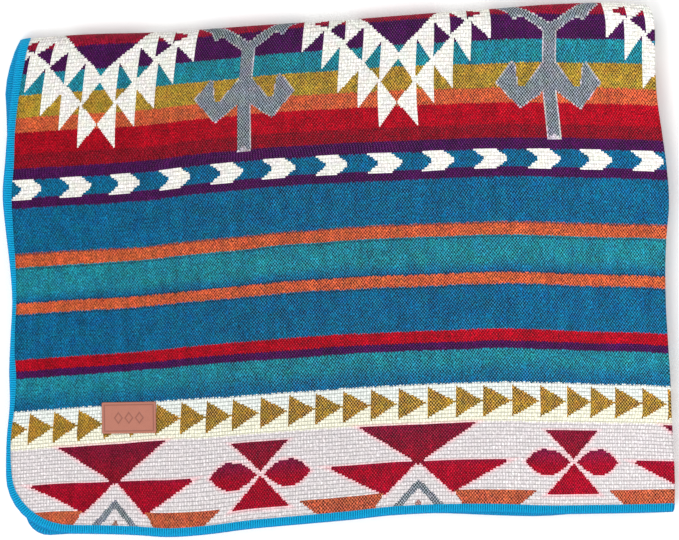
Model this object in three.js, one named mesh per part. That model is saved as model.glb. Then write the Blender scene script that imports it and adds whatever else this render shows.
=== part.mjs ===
import * as THREE from "three";

// Woven blanket folded flat for a shelf: doubled side to side, then twice end to end,
// which gives eight layers. A blue overlock binding runs round the cut edge, and a small
// leather patch is sewn near the front left corner.
// X runs along the front hem, Y from the front hem to the rolled back fold, Z is up.

// Cloth and the air between its layers, in millimetres
const SHEET = 3;
const AIR = 1;
const FOLDED_WIDTH = 700;
const FRONT = -254;
const BACK = 275;
const LOWER_FOLD_TUCK = 18;
const CORNER_RADIUS = 60;
const UNDER_CORNER_RADIUS = 14;

// Binding round the cut edge
const BINDING_WIDTH = 8.5;
const BINDING_EDGE = 1.4;
const BINDING_LIP = 0.6;
const CLEARANCE = 0.3;

// Leather patch
const PATCH_WIDTH = 57;
const PATCH_HEIGHT = 33;
const PATCH_THICKNESS = 2;
const PATCH_CORNER = 1.5;
const PATCH_BEVEL = 0.4;
const PATCH_X = -221;
const PATCH_Y = -155;
const PATCH_TURN = THREE.MathUtils.degToRad(0.9);

// Loft of the stack, as shares of its height
const BACK_LOFT = 0.1;
const BACK_LOFT_REACH = 75;
const LUMP = 0.018;
const LUMP_LENGTH = 95;

// How far a wave in a hem reaches into the cloth
const HEM_REACH = 48;
// Where the back fold starts to leave the line of the stripes
const BACK_SHIFT_START = 150;

// Faces along and across the cloth
const LEAF_STEPS = 11;
const SIDE_FOLD_STEPS = 5;
const FLAT_STEPS = 9;
const OUTER_TURN_STEPS = 10;
const INNER_TURN_STEPS = 6;
const CORNER_STEPS = 5;
const UNDER_CORNER_STEPS = 3;

// Left and right edges of the stack at distances y along it
const EDGES = [
  { y: -257, left: -349.7, right: 351.5 },
  { y: -220, left: -350.2, right: 352.5 },
  { y: -184, left: -350.4, right: 351.0 },
  { y: -147, left: -349.7, right: 349.0 },
  { y: -110, left: -346.5, right: 347.7 },
  { y: -73, left: -347.0, right: 345.3 },
  { y: -37, left: -345.5, right: 343.2 },
  { y: 0, left: -343.9, right: 342.4 },
  { y: 37, left: -346.5, right: 343.5 },
  { y: 73, left: -350.7, right: 346.3 },
  { y: 110, left: -353.9, right: 344.0 },
  { y: 147, left: -351.2, right: 339.0 },
  { y: 184, left: -348.6, right: 333.5 },
  { y: 220, left: -344.4, right: 331.6 },
  { y: 257, left: -338.0, right: 330.5 },
  { y: 280, left: -328.7, right: 324.0 },
];

// How the cloth lies across its width: bow of the stripes, extra depth of the back fold,
// and the waves of the top hem and of the hem below it
const LIE = [
  { x: -341, bow: -31.5, back: -1.0, hem: 5.0, underHem: 3.5 },
  { x: -294, bow: -28.0, back: -0.5, hem: 4.5, underHem: 3.9 },
  { x: -252, bow: -25.0, back: -1.3, hem: 1.5, underHem: 2.6 },
  { x: -214, bow: -22.0, back: -3.5, hem: -2.7, underHem: 0.0 },
  { x: -180, bow: -19.2, back: -5.0, hem: -7.5, underHem: 0.0 },
  { x: -142, bow: -16.2, back: -5.4, hem: -8.0, underHem: 0.0 },
  { x: -94, bow: -12.6, back: -5.4, hem: -5.5, underHem: 0.0 },
  { x: -42, bow: -9.2, back: -5.4, hem: -4.2, underHem: 0.0 },
  { x: 13, bow: -5.9, back: -5.2, hem: -2.5, underHem: 0.0 },
  { x: 52, bow: -4.0, back: -4.0, hem: 0.0, underHem: 1.0 },
  { x: 105, bow: -1.9, back: -2.0, hem: 0.5, underHem: 0.0 },
  { x: 168, bow: 0.0, back: 0.5, hem: -1.0, underHem: -4.2 },
  { x: 215, bow: -0.2, back: 4.5, hem: -2.4, underHem: -4.5 },
  { x: 273, bow: -1.0, back: 7.4, hem: -1.0, underHem: 1.0 },
  { x: 320, bow: -2.1, back: 6.6, hem: 1.0, underHem: 2.0 },
  { x: 353, bow: -3.9, back: 5.0, hem: 4.0, underHem: 4.0 },
];

// How far the left edges of the doubled cloth are drawn in along its path, and how much
// further the lower leaf's edge is tucked in; fold 0 is the top front hem, 1 the outer back
// fold, 2 the lower front fold, 3 the inner back fold and 4 the hem of the second doubled layer
const SKEW = [
  { fold: 0.0, drawn: 0.0, tuck: 2.5 },
  { fold: 0.3, drawn: 0.0, tuck: 1.0 },
  { fold: 0.7, drawn: 0.0, tuck: 3.0 },
  { fold: 0.93, drawn: -0.5, tuck: 1.0 },
  { fold: 1.0, drawn: -4.5, tuck: 0.0 },
  { fold: 1.1, drawn: -9.0, tuck: 1.5 },
  { fold: 1.16, drawn: -4.0, tuck: 2.0 },
  { fold: 1.3, drawn: 2.5, tuck: -1.5 },
  { fold: 1.7, drawn: 4.0, tuck: 2.0 },
  { fold: 1.9, drawn: 8.0, tuck: 1.0 },
  { fold: 2.0, drawn: 24.0, tuck: 0.0 },
  { fold: 2.1, drawn: 9.0, tuck: -1.0 },
  { fold: 2.5, drawn: 3.0, tuck: -2.5 },
  { fold: 2.9, drawn: 0.0, tuck: 1.0 },
  { fold: 3.0, drawn: -2.0, tuck: 0.0 },
  { fold: 3.2, drawn: 1.5, tuck: 2.0 },
  { fold: 3.7, drawn: 4.0, tuck: -2.0 },
  { fold: 3.86, drawn: 11.0, tuck: 0.0 },
  { fold: 4.0, drawn: 23.0, tuck: 0.0 },
];

// Sizes that follow from those above
const LEAF_PITCH = SHEET + AIR;
const PAIR_PITCH = 2 * LEAF_PITCH;
const LEAF_OFFSET = LEAF_PITCH / 2;
const PAIR_HALF = LEAF_OFFSET + SHEET / 2;
const OUTER_TURN = 1.5 * PAIR_PITCH;
const INNER_TURN = 0.5 * PAIR_PITCH;
const SIDE_FOLD_X = FOLDED_WIDTH / 2 - PAIR_HALF;
const SIDE_ARC = (Math.PI / 2) * LEAF_OFFSET;
const BACK_Y = BACK - OUTER_TURN - PAIR_HALF;
const HEM_Y = FRONT + BINDING_WIDTH + CLEARANCE;
const LOWER_FOLD_Y = FRONT + LOWER_FOLD_TUCK + INNER_TURN + PAIR_HALF;
const CLOTH_HALF_WIDTH =
  SIDE_FOLD_X + FOLDED_WIDTH / 2 - BINDING_WIDTH - CLEARANCE + SIDE_ARC;

// Smooth curve through one column of a table, level past its two ends
function curveThrough(table, key, column) {
  const slopeAt = (i) => {
    const a = table[Math.max(i - 1, 0)];
    const b = table[Math.min(i + 1, table.length - 1)];
    return (b[column] - a[column]) / (b[key] - a[key]);
  };
  return (value) => {
    const last = table.length - 1;
    const at = THREE.MathUtils.clamp(value, table[0][key], table[last][key]);
    let i = 0;
    while (i < last - 1 && at > table[i + 1][key]) i += 1;
    const span = table[i + 1][key] - table[i][key];
    const t = (at - table[i][key]) / span;
    const rise = table[i + 1][column] - table[i][column];
    const inSlope = slopeAt(i) * span - rise;
    const outSlope = rise - slopeAt(i + 1) * span;
    return table[i][column] + rise * t + t * (1 - t) * (inSlope * (1 - t) + outSlope * t);
  };
}

const leftEdge = curveThrough(EDGES, "y", "left");
const rightEdge = curveThrough(EDGES, "y", "right");
const bow = curveThrough(LIE, "x", "bow");
const backShift = curveThrough(LIE, "x", "back");
const topHemWave = curveThrough(LIE, "x", "hem");
const underHemWave = curveThrough(LIE, "x", "underHem");
const drawnIn = curveThrough(SKEW, "fold", "drawn");
const tuck = curveThrough(SKEW, "fold", "tuck");

// Height of the middle of a doubled layer, counted from the bottom
const levelHeight = (level) => PAIR_HALF + (level - 1) * PAIR_PITCH;

// Path of the doubled cloth, seen from the side. A turn runs about a centre; side is 1 where
// the cloth's face looks away from that centre and -1 where it looks towards it.
const PATH = [
  { level: 4, from: HEM_Y, to: BACK_Y },
  { turn: OUTER_TURN, y: BACK_Y, levels: [4, 1], side: 1, start: Math.PI / 2, sweep: -Math.PI },
  { level: 1, from: BACK_Y, to: LOWER_FOLD_Y },
  { turn: INNER_TURN, y: LOWER_FOLD_Y, levels: [1, 2], side: 1, start: -Math.PI / 2, sweep: -Math.PI },
  { level: 2, from: LOWER_FOLD_Y, to: BACK_Y },
  { turn: INNER_TURN, y: BACK_Y, levels: [2, 3], side: -1, start: Math.PI / 2, sweep: Math.PI },
  { level: 3, from: BACK_Y, to: HEM_Y },
];
let pathLength = 0;
for (const run of PATH) {
  run.begin = pathLength;
  run.length = run.turn ? Math.PI * run.turn : Math.abs(run.to - run.from);
  pathLength += run.length;
}
const CLOTH_LENGTH = pathLength;

// Point and face direction of the doubled cloth's middle, q along the cloth from its top hem
function pathAt(q) {
  const run = PATH.findLast((r) => q >= r.begin) ?? PATH[0];
  const along = q - run.begin;
  if (!run.turn) {
    const way = Math.sign(run.to - run.from);
    return { y: run.from + way * along, z: levelHeight(run.level), faceY: 0, faceZ: way };
  }
  const angle = run.start + (run.sweep * along) / run.length;
  const centreZ = (levelHeight(run.levels[0]) + levelHeight(run.levels[1])) / 2;
  return {
    y: run.y + run.side * run.turn * Math.cos(angle),
    z: centreZ + run.side * run.turn * Math.sin(angle),
    faceY: Math.cos(angle),
    faceZ: Math.sin(angle),
  };
}

// Which fold a place q on the cloth is at, counted as in the skew table
const FOLD_PLACES = [0, ...[1, 3, 5].map((i) => PATH[i].begin + PATH[i].length / 2), CLOTH_LENGTH];
function foldCount(q) {
  const at = THREE.MathUtils.clamp(q, 0, CLOTH_LENGTH);
  const i = Math.min(FOLD_PLACES.findLastIndex((place) => at >= place), FOLD_PLACES.length - 2);
  return i + (at - FOLD_PLACES[i]) / (FOLD_PLACES[i + 1] - FOLD_PLACES[i]);
}

// Share of the stack's height that its loft adds at a place
function loft(x, y) {
  const back = BACK_LOFT * Math.exp(-(((y - BACK_Y) / BACK_LOFT_REACH) ** 2));
  const lumps = LUMP * Math.sin(x / LUMP_LENGTH) * Math.cos(y / LUMP_LENGTH);
  return back + lumps;
}

// Lays the neatly folded stack down as it really lies: wavy sides, bowed stripes, full back
function settle(x, y, z) {
  const left = leftEdge(y);
  const right = rightEdge(y);
  const settledX = right - ((FOLDED_WIDTH / 2 - x) * (right - left)) / FOLDED_WIDTH;
  const nearBack = THREE.MathUtils.smoothstep(y, BACK_SHIFT_START, BACK_Y);
  const settledY = y + bow(settledX) + nearBack * backShift(settledX);
  return new THREE.Vector3(settledX, settledY, z * (1 + loft(settledX, settledY)));
}

// Place in the stack of a point of the cloth: s across it from the side fold, q along it
// from the top hem, and depth from the middle of its thickness
function folded(s, q, depth) {
  const path = pathAt(q);
  const past = Math.max(Math.abs(s) - SIDE_ARC, 0);
  const angle = Math.min(Math.max(s, -SIDE_ARC), SIDE_ARC) / LEAF_OFFSET;
  const radius = LEAF_OFFSET + depth;
  const x = SIDE_FOLD_X + radius * Math.cos(angle) - past;
  const offset = -radius * Math.sin(angle);
  const fade = (distance) => Math.exp(-((Math.max(distance, 0) / HEM_REACH) ** 2));
  const wave = topHemWave(x) * fade(q) + underHemWave(x) * fade(CLOTH_LENGTH - q);
  return settle(x, path.y + offset * path.faceY + wave, path.z + offset * path.faceZ);
}

// How far a rounded corner draws the side in, at a distance from the hem
function cornerInset(distance, radius) {
  const left = Math.max(radius - distance, 0);
  return radius - Math.sqrt(radius ** 2 - left ** 2);
}

// Half width of the cloth at q on one side of the side fold: -1 the upper leaf, 1 the lower
function halfWidth(q, side) {
  const corners =
    cornerInset(q, CORNER_RADIUS) + cornerInset(CLOTH_LENGTH - q, UNDER_CORNER_RADIUS);
  const fold = foldCount(q);
  return CLOTH_HALF_WIDTH - corners - drawnIn(fold) - (side > 0 ? tuck(fold) : 0);
}

const steps = (count) => Array.from({ length: count + 1 }, (_, i) => i / count);

// Places along the cloth where its faces change, the same in every layer of the stack
function rowPlaces() {
  const cornerTop = HEM_Y + CORNER_RADIUS;
  const flatRows = steps(FLAT_STEPS).map((t) => THREE.MathUtils.lerp(cornerTop, BACK_Y, t));
  const arcRows = (radius, count) =>
    steps(count).map((t) => HEM_Y + radius * (1 - Math.cos((t * Math.PI) / 2)));
  const frontRows = [
    arcRows(CORNER_RADIUS, CORNER_STEPS),
    [LOWER_FOLD_Y, (LOWER_FOLD_Y + cornerTop) / 2],
    [LOWER_FOLD_Y, (LOWER_FOLD_Y + cornerTop) / 2],
    [...arcRows(UNDER_CORNER_RADIUS, UNDER_CORNER_STEPS), (HEM_Y + cornerTop) / 2],
  ];
  const places = [];
  PATH.forEach((run, index) => {
    if (run.turn) {
      const count = run.turn === OUTER_TURN ? OUTER_TURN_STEPS : INNER_TURN_STEPS;
      places.push(...steps(count).map((t) => run.begin + t * run.length));
    } else {
      const rows = [...frontRows[index / 2], ...flatRows];
      places.push(...rows.map((y) => run.begin + Math.abs(y - run.from)));
    }
  });
  places.sort((a, b) => a - b);
  return places.filter((q, i) => i === 0 || q - places[i - 1] > 1e-6);
}

// Places across the cloth at q, from the upper leaf's edge round the side fold to the lower's
function columnPlaces(q) {
  const upper = halfWidth(q, -1);
  const lower = halfWidth(q, 1);
  const out = steps(LEAF_STEPS);
  return [
    ...out.map((t) => THREE.MathUtils.lerp(-upper, -SIDE_ARC, t)),
    ...steps(SIDE_FOLD_STEPS)
      .slice(1, -1)
      .map((t) => THREE.MathUtils.lerp(-SIDE_ARC, SIDE_ARC, t)),
    ...out.map((t) => THREE.MathUtils.lerp(SIDE_ARC, lower, t)),
  ];
}

function solidGeometry(points, faces) {
  const positions = points.flatMap((p) => [p.x, p.y, p.z]);
  const geometry = new THREE.BufferGeometry();
  geometry.setAttribute("position", new THREE.Float32BufferAttribute(positions, 3));
  geometry.setIndex(faces.flat());
  geometry.computeVertexNormals();
  return geometry;
}

// Grid of the flat cloth as rows of { s, q }, and its outline as a list that runs round it
const ROWS = rowPlaces().map((q) => columnPlaces(q).map((s) => ({ s, q })));
const COLUMN_COUNT = ROWS[0].length;

function outline() {
  const last = COLUMN_COUNT - 1;
  const inner = ROWS.slice(1, -1);
  return [
    ...ROWS[0].map((_, j) => [0, j]),
    ...inner.map((_, i) => [i + 1, last]),
    ...ROWS[0].map((_, j) => [ROWS.length - 1, last - j]),
    ...inner.map((_, i) => [ROWS.length - 2 - i, 0]),
  ];
}

// Brushed cloth: an upper and a lower skin over the grid, joined round the outline
function clothGeometry() {
  const skin = (depth) => ROWS.flatMap((row) => row.map(({ s, q }) => folded(s, q, depth)));
  const upperCount = ROWS.length * COLUMN_COUNT;
  const upper = (i, j) => i * COLUMN_COUNT + j;
  const lower = (i, j) => upperCount + upper(i, j);
  const faces = [];
  for (let i = 0; i < ROWS.length - 1; i += 1) {
    for (let j = 0; j < COLUMN_COUNT - 1; j += 1) {
      faces.push([upper(i, j), upper(i, j + 1), upper(i + 1, j + 1)]);
      faces.push([upper(i, j), upper(i + 1, j + 1), upper(i + 1, j)]);
      faces.push([lower(i, j), lower(i + 1, j + 1), lower(i, j + 1)]);
      faces.push([lower(i, j), lower(i + 1, j), lower(i + 1, j + 1)]);
    }
  }
  const rim = outline();
  rim.forEach((here, k) => {
    const next = rim[(k + 1) % rim.length];
    faces.push([lower(...here), lower(...next), upper(...next)]);
    faces.push([lower(...here), upper(...next), upper(...here)]);
  });
  return solidGeometry([...skin(SHEET / 2), ...skin(-SHEET / 2)], faces);
}

// Binding: one ring that follows the outline a clearance away, with a softened outer lip
function bindingGeometry() {
  const outer = CLEARANCE + BINDING_WIDTH;
  const section = [
    { out: outer - BINDING_EDGE, depth: SHEET / 2 },
    { out: CLEARANCE, depth: SHEET / 2 },
    { out: CLEARANCE, depth: -SHEET / 2 },
    { out: outer - BINDING_EDGE, depth: -SHEET / 2 },
    { out: outer, depth: -BINDING_LIP },
    { out: outer, depth: BINDING_LIP },
  ];
  const ring = outline().map(([i, j]) => ROWS[i][j]);
  const points = [];
  const faces = [];
  ring.forEach((here, k) => {
    const before = ring[(k + ring.length - 1) % ring.length];
    const after = ring[(k + 1) % ring.length];
    const outward = new THREE.Vector2(after.q - before.q, before.s - after.s).normalize();
    for (const { out, depth } of section) {
      points.push(folded(here.s + out * outward.x, here.q + out * outward.y, depth));
    }
    const next = (k + 1) % ring.length;
    section.forEach((_, m) => {
      const corners = [
        [k, m],
        [next, m],
        [next, (m + 1) % section.length],
        [k, (m + 1) % section.length],
      ].map(([station, corner]) => station * section.length + corner);
      faces.push([corners[0], corners[1], corners[2]]);
      faces.push([corners[0], corners[2], corners[3]]);
    });
  });
  return solidGeometry(points, faces);
}

// Leather patch: a thin rounded rectangle with eased edges, its underside at z = 0
function patchGeometry() {
  const halfWidth = PATCH_WIDTH / 2 - PATCH_BEVEL;
  const halfHeight = PATCH_HEIGHT / 2 - PATCH_BEVEL;
  const shape = new THREE.Shape();
  shape.absarc(halfWidth - PATCH_CORNER, halfHeight - PATCH_CORNER, PATCH_CORNER, 0, Math.PI / 2);
  shape.absarc(PATCH_CORNER - halfWidth, halfHeight - PATCH_CORNER, PATCH_CORNER, Math.PI / 2, Math.PI);
  shape.absarc(PATCH_CORNER - halfWidth, PATCH_CORNER - halfHeight, PATCH_CORNER, Math.PI, 1.5 * Math.PI);
  shape.absarc(halfWidth - PATCH_CORNER, PATCH_CORNER - halfHeight, PATCH_CORNER, 1.5 * Math.PI, 2 * Math.PI);
  const geometry = new THREE.ExtrudeGeometry(shape, {
    depth: PATCH_THICKNESS - 2 * PATCH_BEVEL,
    bevelThickness: PATCH_BEVEL,
    bevelSize: PATCH_BEVEL,
    bevelSegments: 1,
    curveSegments: 3,
  });
  return geometry.translate(0, 0, PATCH_BEVEL);
}

function piece(name, geometry, color, roughness) {
  const material = new THREE.MeshStandardMaterial({ color, roughness, metalness: 0 });
  const mesh = new THREE.Mesh(geometry, material);
  mesh.name = name;
  return mesh;
}

// The patch stands a clearance above the highest cloth under it
function patchHeight() {
  const reach = [-1, 0, 1];
  const tops = reach.flatMap((i) =>
    reach.map((j) => {
      const x = PATCH_X + (i * PATCH_WIDTH) / 2;
      const y = PATCH_Y + (j * PATCH_HEIGHT) / 2;
      return (levelHeight(4) + PAIR_HALF) * (1 + loft(x, y));
    }),
  );
  return Math.max(...tops) + CLEARANCE;
}

const cloth = piece("blanket_cloth", clothGeometry(), 0x1277a6, 0.95);
const binding = piece("edge_binding", bindingGeometry(), 0x159ad8, 0.7);
const patch = piece("leather_patch", patchGeometry(), 0xc6785f, 0.6);
patch.position.set(PATCH_X, PATCH_Y, patchHeight());
patch.rotation.z = PATCH_TURN;

// The origin is under the middle of the folded blanket, on the surface it rests on
const blanket = new THREE.Group();
blanket.add(cloth, binding, patch);
const reach = new THREE.Box3().setFromObject(blanket, true);
const middle = reach.getCenter(new THREE.Vector3());
blanket.position.set(-middle.x, -middle.y, -reach.min.z);

export default blanket;
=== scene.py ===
"""Folded alpaca blanket: striped brushed cloth, overlocked edge and a small leather patch.

Lengths are in millimetres while a piece is being laid out and in metres in its mesh. X runs
along the front hem, Y from the front hem to the rolled back fold and Z is up.
"""

import logging
import math
from dataclasses import dataclass
from enum import Enum

import bpy
import numpy as np
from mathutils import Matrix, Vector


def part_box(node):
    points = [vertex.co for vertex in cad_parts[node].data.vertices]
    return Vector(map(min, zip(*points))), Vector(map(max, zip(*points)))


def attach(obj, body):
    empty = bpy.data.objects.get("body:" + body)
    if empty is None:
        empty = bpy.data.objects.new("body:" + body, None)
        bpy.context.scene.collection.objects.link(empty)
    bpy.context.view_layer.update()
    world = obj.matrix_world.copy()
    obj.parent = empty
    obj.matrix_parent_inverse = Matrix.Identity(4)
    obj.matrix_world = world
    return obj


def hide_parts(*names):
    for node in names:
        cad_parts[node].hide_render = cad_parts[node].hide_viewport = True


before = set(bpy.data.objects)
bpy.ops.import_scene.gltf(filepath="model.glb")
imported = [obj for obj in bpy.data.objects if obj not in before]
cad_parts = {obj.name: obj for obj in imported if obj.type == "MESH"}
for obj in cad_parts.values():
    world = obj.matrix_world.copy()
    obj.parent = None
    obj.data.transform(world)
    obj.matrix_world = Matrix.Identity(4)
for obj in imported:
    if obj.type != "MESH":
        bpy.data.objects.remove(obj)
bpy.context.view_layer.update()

LOG = logging.getLogger("blanket")
MM = 0.001
MATH = "ShaderNodeMath"
VECTOR_MATH = "ShaderNodeVectorMath"
MAP_RANGE = "ShaderNodeMapRange"
NOISE = "ShaderNodeTexNoise"
MIX = "ShaderNodeMix"
CLOTH_MAP = "cloth"
DARK_MARKS = "dark_marks"
Tree = bpy.types.NodeTree
Socket = bpy.types.NodeSocket
Material = bpy.types.Material
Piece = bpy.types.Object

# Left and right edges of the stack at distances y along it
EDGES = (
    (-257, -349.7, 351.5),
    (-220, -350.2, 352.5),
    (-184, -350.4, 351.0),
    (-147, -349.7, 349.0),
    (-110, -346.5, 347.7),
    (-73, -347.0, 345.3),
    (-37, -345.5, 343.2),
    (0, -343.9, 342.4),
    (37, -346.5, 343.5),
    (73, -350.7, 346.3),
    (110, -353.9, 344.0),
    (147, -351.2, 339.0),
    (184, -348.6, 333.5),
    (220, -344.4, 331.6),
    (257, -338.0, 330.5),
    (280, -328.7, 324.0),
)

# Across the width at x: bow of the stripes, extra depth of the back fold, and the waves of
# the top hem and of the hem below it
LIE = (
    (-341, -31.5, -1.0, 5.0, 3.5),
    (-294, -28.0, -0.5, 4.5, 3.9),
    (-252, -25.0, -1.3, 1.5, 2.6),
    (-214, -22.0, -3.5, -2.7, 0.0),
    (-180, -19.2, -5.0, -7.5, 0.0),
    (-142, -16.2, -5.4, -8.0, 0.0),
    (-94, -12.6, -5.4, -5.5, 0.0),
    (-42, -9.2, -5.4, -4.2, 0.0),
    (13, -5.9, -5.2, -2.5, 0.0),
    (52, -4.0, -4.0, 0.0, 1.0),
    (105, -1.9, -2.0, 0.5, 0.0),
    (168, 0.0, 0.5, -1.0, -4.2),
    (215, -0.2, 4.5, -2.4, -4.5),
    (273, -1.0, 7.4, -1.0, 1.0),
    (320, -2.1, 6.6, 1.0, 2.0),
    (353, -3.9, 5.0, 4.0, 4.0),
)

# Along the cloth, counted in folds from the top hem: how far its left edges are drawn in, and
# how much further the lower leaf's edge is tucked in
SKEW = (
    (0.0, 0.0, 2.5),
    (0.3, 0.0, 1.0),
    (0.7, 0.0, 3.0),
    (0.93, -0.5, 1.0),
    (1.0, -4.5, 0.0),
    (1.1, -9.0, 1.5),
    (1.16, -4.0, 2.0),
    (1.3, 2.5, -1.5),
    (1.7, 4.0, 2.0),
    (1.9, 8.0, 1.0),
    (2.0, 24.0, 0.0),
    (2.1, 9.0, -1.0),
    (2.5, 3.0, -2.5),
    (2.9, 0.0, 1.0),
    (3.0, -2.0, 0.0),
    (3.2, 1.5, 2.0),
    (3.7, 4.0, -2.0),
    (3.86, 11.0, 0.0),
    (4.0, 23.0, 0.0),
)

# How far the weave has drifted to the right at places across, in four rows of figures: hem
# figures, gold triangles, arrowheads and feathers
HEM_DRIFT = (
    (-324, 4.6), (-284, 4.2), (-236, 3.2), (-200, -1.0), (-156, -5.0), (-84, -4.6), (-32, -4.6),
    (-8, -1.9), (81, 0.5), (175, 4.6), (195, 5.7), (246, 3.5), (291, -2.8), (315, -3.5), (352, -3.1),
)
TRIANGLE_DRIFT = (
    (-328, 3.7), (-301, 2.5), (-276, 0.0), (-220, -2.1), (-167, -4.1), (-113, -6.7), (-84, -5.3),
    (-54, -3.9), (-25, -3.0), (33, -1.7), (62, -0.7), (92, 1.3), (123, 4.2), (150, 4.4),
    (181, 6.3), (211, 7.8), (239, 7.6), (264, 5.4), (289, 2.9), (318, 3.2), (344, 1.2),
)
ARROW_DRIFT = (
    (-341, 0.0), (-290, -3.2), (-238, -5.8), (-186, -8.2), (-132, -8.4), (-77, -7.9), (-21, -6.5),
    (34, -5.8), (92, -2.8), (146, -3.2), (203, -0.5), (313, 0.2),
)
FEATHER_DRIFT = (
    (-336, 4.7), (-255, 5.3), (-158, 2.1), (-100, -0.5), (-42, -2.1), (60, 1.0), (158, -1.0),
    (220, 1.6), (277, 2.1), (326, 1.0),
)

# How far the weave has drifted towards the back, at heights in the pattern and at these places
# across the cloth
HEIGHT_STATIONS = (-320, -210, -130, -47, 62, 172, 281)
HEIGHT_DRIFT = (
    (60, 0.0, 0.0, 0.0, 0.0, 0.0, 0.0, 0.0),
    (113, 0.0, 0.5, -1.6, -1.0, 0.0, 0.0, -1.0),
    (160, -1.0, -1.0, -1.0, -1.0, 0.0, 0.0, -2.1),
    (191, -2.1, -2.6, -1.0, 0.0, 0.0, 0.0, -2.6),
    (236, -2.1, -3.2, -2.1, 0.0, -0.5, 0.0, -2.1),
    (275, -4.2, -5.2, -3.7, -0.4, 0.0, 0.0, -2.1),
    (307, -4.2, -6.3, -4.2, -2.1, -1.0, -1.5, -2.1),
    (354, -2.1, -3.2, -0.5, 1.0, 0.0, 1.0, 0.0),
    (380, -2.1, -3.2, -0.5, 0.5, 0.0, 0.5, 0.0),
    (417, -1.0, -2.6, 0.0, 1.0, 0.0, 0.0, -1.0),
    (459, -3.2, -2.1, 0.0, 2.1, 1.6, -1.0, -3.7),
    (499, -4.2, -1.6, 0.5, 2.6, 3.2, 1.6, -3.2),
)

# Width of the binding that shows along the left edge, at distances along the cloth
LEFT_BINDING = (
    (0, 8.5), (25, 8.2), (50, 6.2), (80, 4.2), (110, 3.9), (140, 5.0), (165, 6.6), (190, 4.6),
    (215, 3.9), (245, 4.0), (275, 5.2), (310, 6.8), (345, 8.2), (380, 8.8), (420, 7.4),
    (470, 8.0), (520, 10.5), (620, 8.5),
)


def curve_through(table: tuple, column: int, at: np.ndarray) -> np.ndarray:
    """Smooth curve through one column of a table, level past its two ends.

    Args:
        table: rows that start with the place they hold for.
        column: which entry of the rows the curve goes through.
        at: places to read it at.

    Returns:
        The curve's value at each place.
    """
    rows = np.array(table, float)
    keys = rows[:, 0]
    values = rows[:, column]
    slopes = np.empty_like(values)
    slopes[1:-1] = (values[2:] - values[:-2]) / (keys[2:] - keys[:-2])
    slopes[0] = (values[1] - values[0]) / (keys[1] - keys[0])
    slopes[-1] = (values[-1] - values[-2]) / (keys[-1] - keys[-2])
    place = np.clip(at, keys[0], keys[-1])
    i = np.clip(np.searchsorted(keys, place) - 1, 0, len(keys) - 2)
    span = keys[i + 1] - keys[i]
    t = (place - keys[i]) / span
    rise = values[i + 1] - values[i]
    leaving = slopes[i] * span - rise
    arriving = rise - slopes[i + 1] * span
    return values[i] + rise * t + t * (1 - t) * (leaving * (1 - t) + arriving * t)


def smooth_step(value: np.ndarray, low: float, high: float) -> np.ndarray:
    """Smooth rise from 0 at low to 1 at high."""
    t = np.clip((value - low) / (high - low), 0, 1)
    return t * t * (3 - 2 * t)


def linear(colour: str) -> tuple[float, float, float, float]:
    """Turns an sRGB hex colour such as "#1277A6" into linear RGBA.

    Args:
        colour: the sRGB hex colour.

    Returns:
        Red, green, blue and an alpha of 1.
    """
    parts = [int(colour[i : i + 2], 16) / 255 for i in (1, 3, 5)]
    bent = [c / 12.92 if c <= 0.04045 else ((c + 0.055) / 1.055) ** 2.4 for c in parts]
    return (bent[0], bent[1], bent[2], 1.0)


def add_node(
    tree: Tree, kind: str, inputs: dict | None = None, output: int | str = 0, **settings
) -> Socket:
    """Adds a node with its settings and links.

    Args:
        tree: node tree that the node goes into.
        kind: the node's type.
        inputs: a value, or a socket to link from, for each input by name or number.
        output: which of the node's outputs is wanted.
        settings: the node's own settings.

    Returns:
        The wanted output socket, or None where the node has no outputs.
    """
    node = tree.nodes.new(kind)
    for name, value in settings.items():
        setattr(node, name, value)
    for name, value in (inputs or {}).items():
        if isinstance(value, Socket):
            tree.links.new(value, node.inputs[name])
        else:
            node.inputs[name].default_value = value
    return node.outputs[output] if len(node.outputs) else None


def new_material(name: str) -> tuple[Material, Tree]:
    """Makes an empty node material.

    Args:
        name: the finish's name.

    Returns:
        The material and its node tree.
    """
    material = bpy.data.materials.new(name)
    material.use_nodes = True
    material.node_tree.nodes.clear()
    return material, material.node_tree


def finish_surface(tree: Tree, inputs: dict) -> None:
    """Puts a shader with these inputs on the material's surface."""
    shader = add_node(tree, "ShaderNodeBsdfPrincipled", inputs)
    add_node(tree, "ShaderNodeOutputMaterial", {"Surface": shader})


def make_piece(
    name: str, points: np.ndarray, faces: np.ndarray, material: Material
) -> Piece:
    """Makes a smooth mesh piece at the origin.

    Args:
        name: the piece's name.
        points: corners in metres, in the row frame.
        faces: corner numbers of each face.
        material: the piece's finish.

    Returns:
        The new object.
    """
    mesh = bpy.data.meshes.new(name)
    mesh.from_pydata(points.tolist(), [], faces.tolist())
    mesh.polygons.foreach_set("use_smooth", [True] * len(mesh.polygons))
    mesh.materials.append(material)
    mesh.update()
    piece = bpy.data.objects.new(name, mesh)
    bpy.context.scene.collection.objects.link(piece)
    return piece


@dataclass(frozen=True)
class Crease:
    """A soft trough or ridge in the top of the stack, along a line from one end to the other."""

    x0: float
    y0: float
    x1: float
    y1: float
    width: float
    height: float
    # Where it starts to rise and where it is full, as shares of its length from either end
    taper: tuple[float, float] = (-0.15, 0.25)

    def rise(self, x: np.ndarray, y: np.ndarray) -> np.ndarray:
        """How far it lifts the top of the stack at each place, in millimetres.

        Args:
            x: places across.
            y: places from front to back.

        Returns:
            The rise at each place.
        """
        run = np.array([self.x1 - self.x0, self.y1 - self.y0])
        along = ((x - self.x0) * run[0] + (y - self.y0) * run[1]) / (run @ run)
        held = np.clip(along, 0, 1)
        away = np.hypot(x - self.x0 - held * run[0], y - self.y0 - held * run[1])
        taper = smooth_step(along, *self.taper) * smooth_step(1 - along, *self.taper)
        return self.height * taper * np.exp(-((away / self.width) ** 2))


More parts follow.
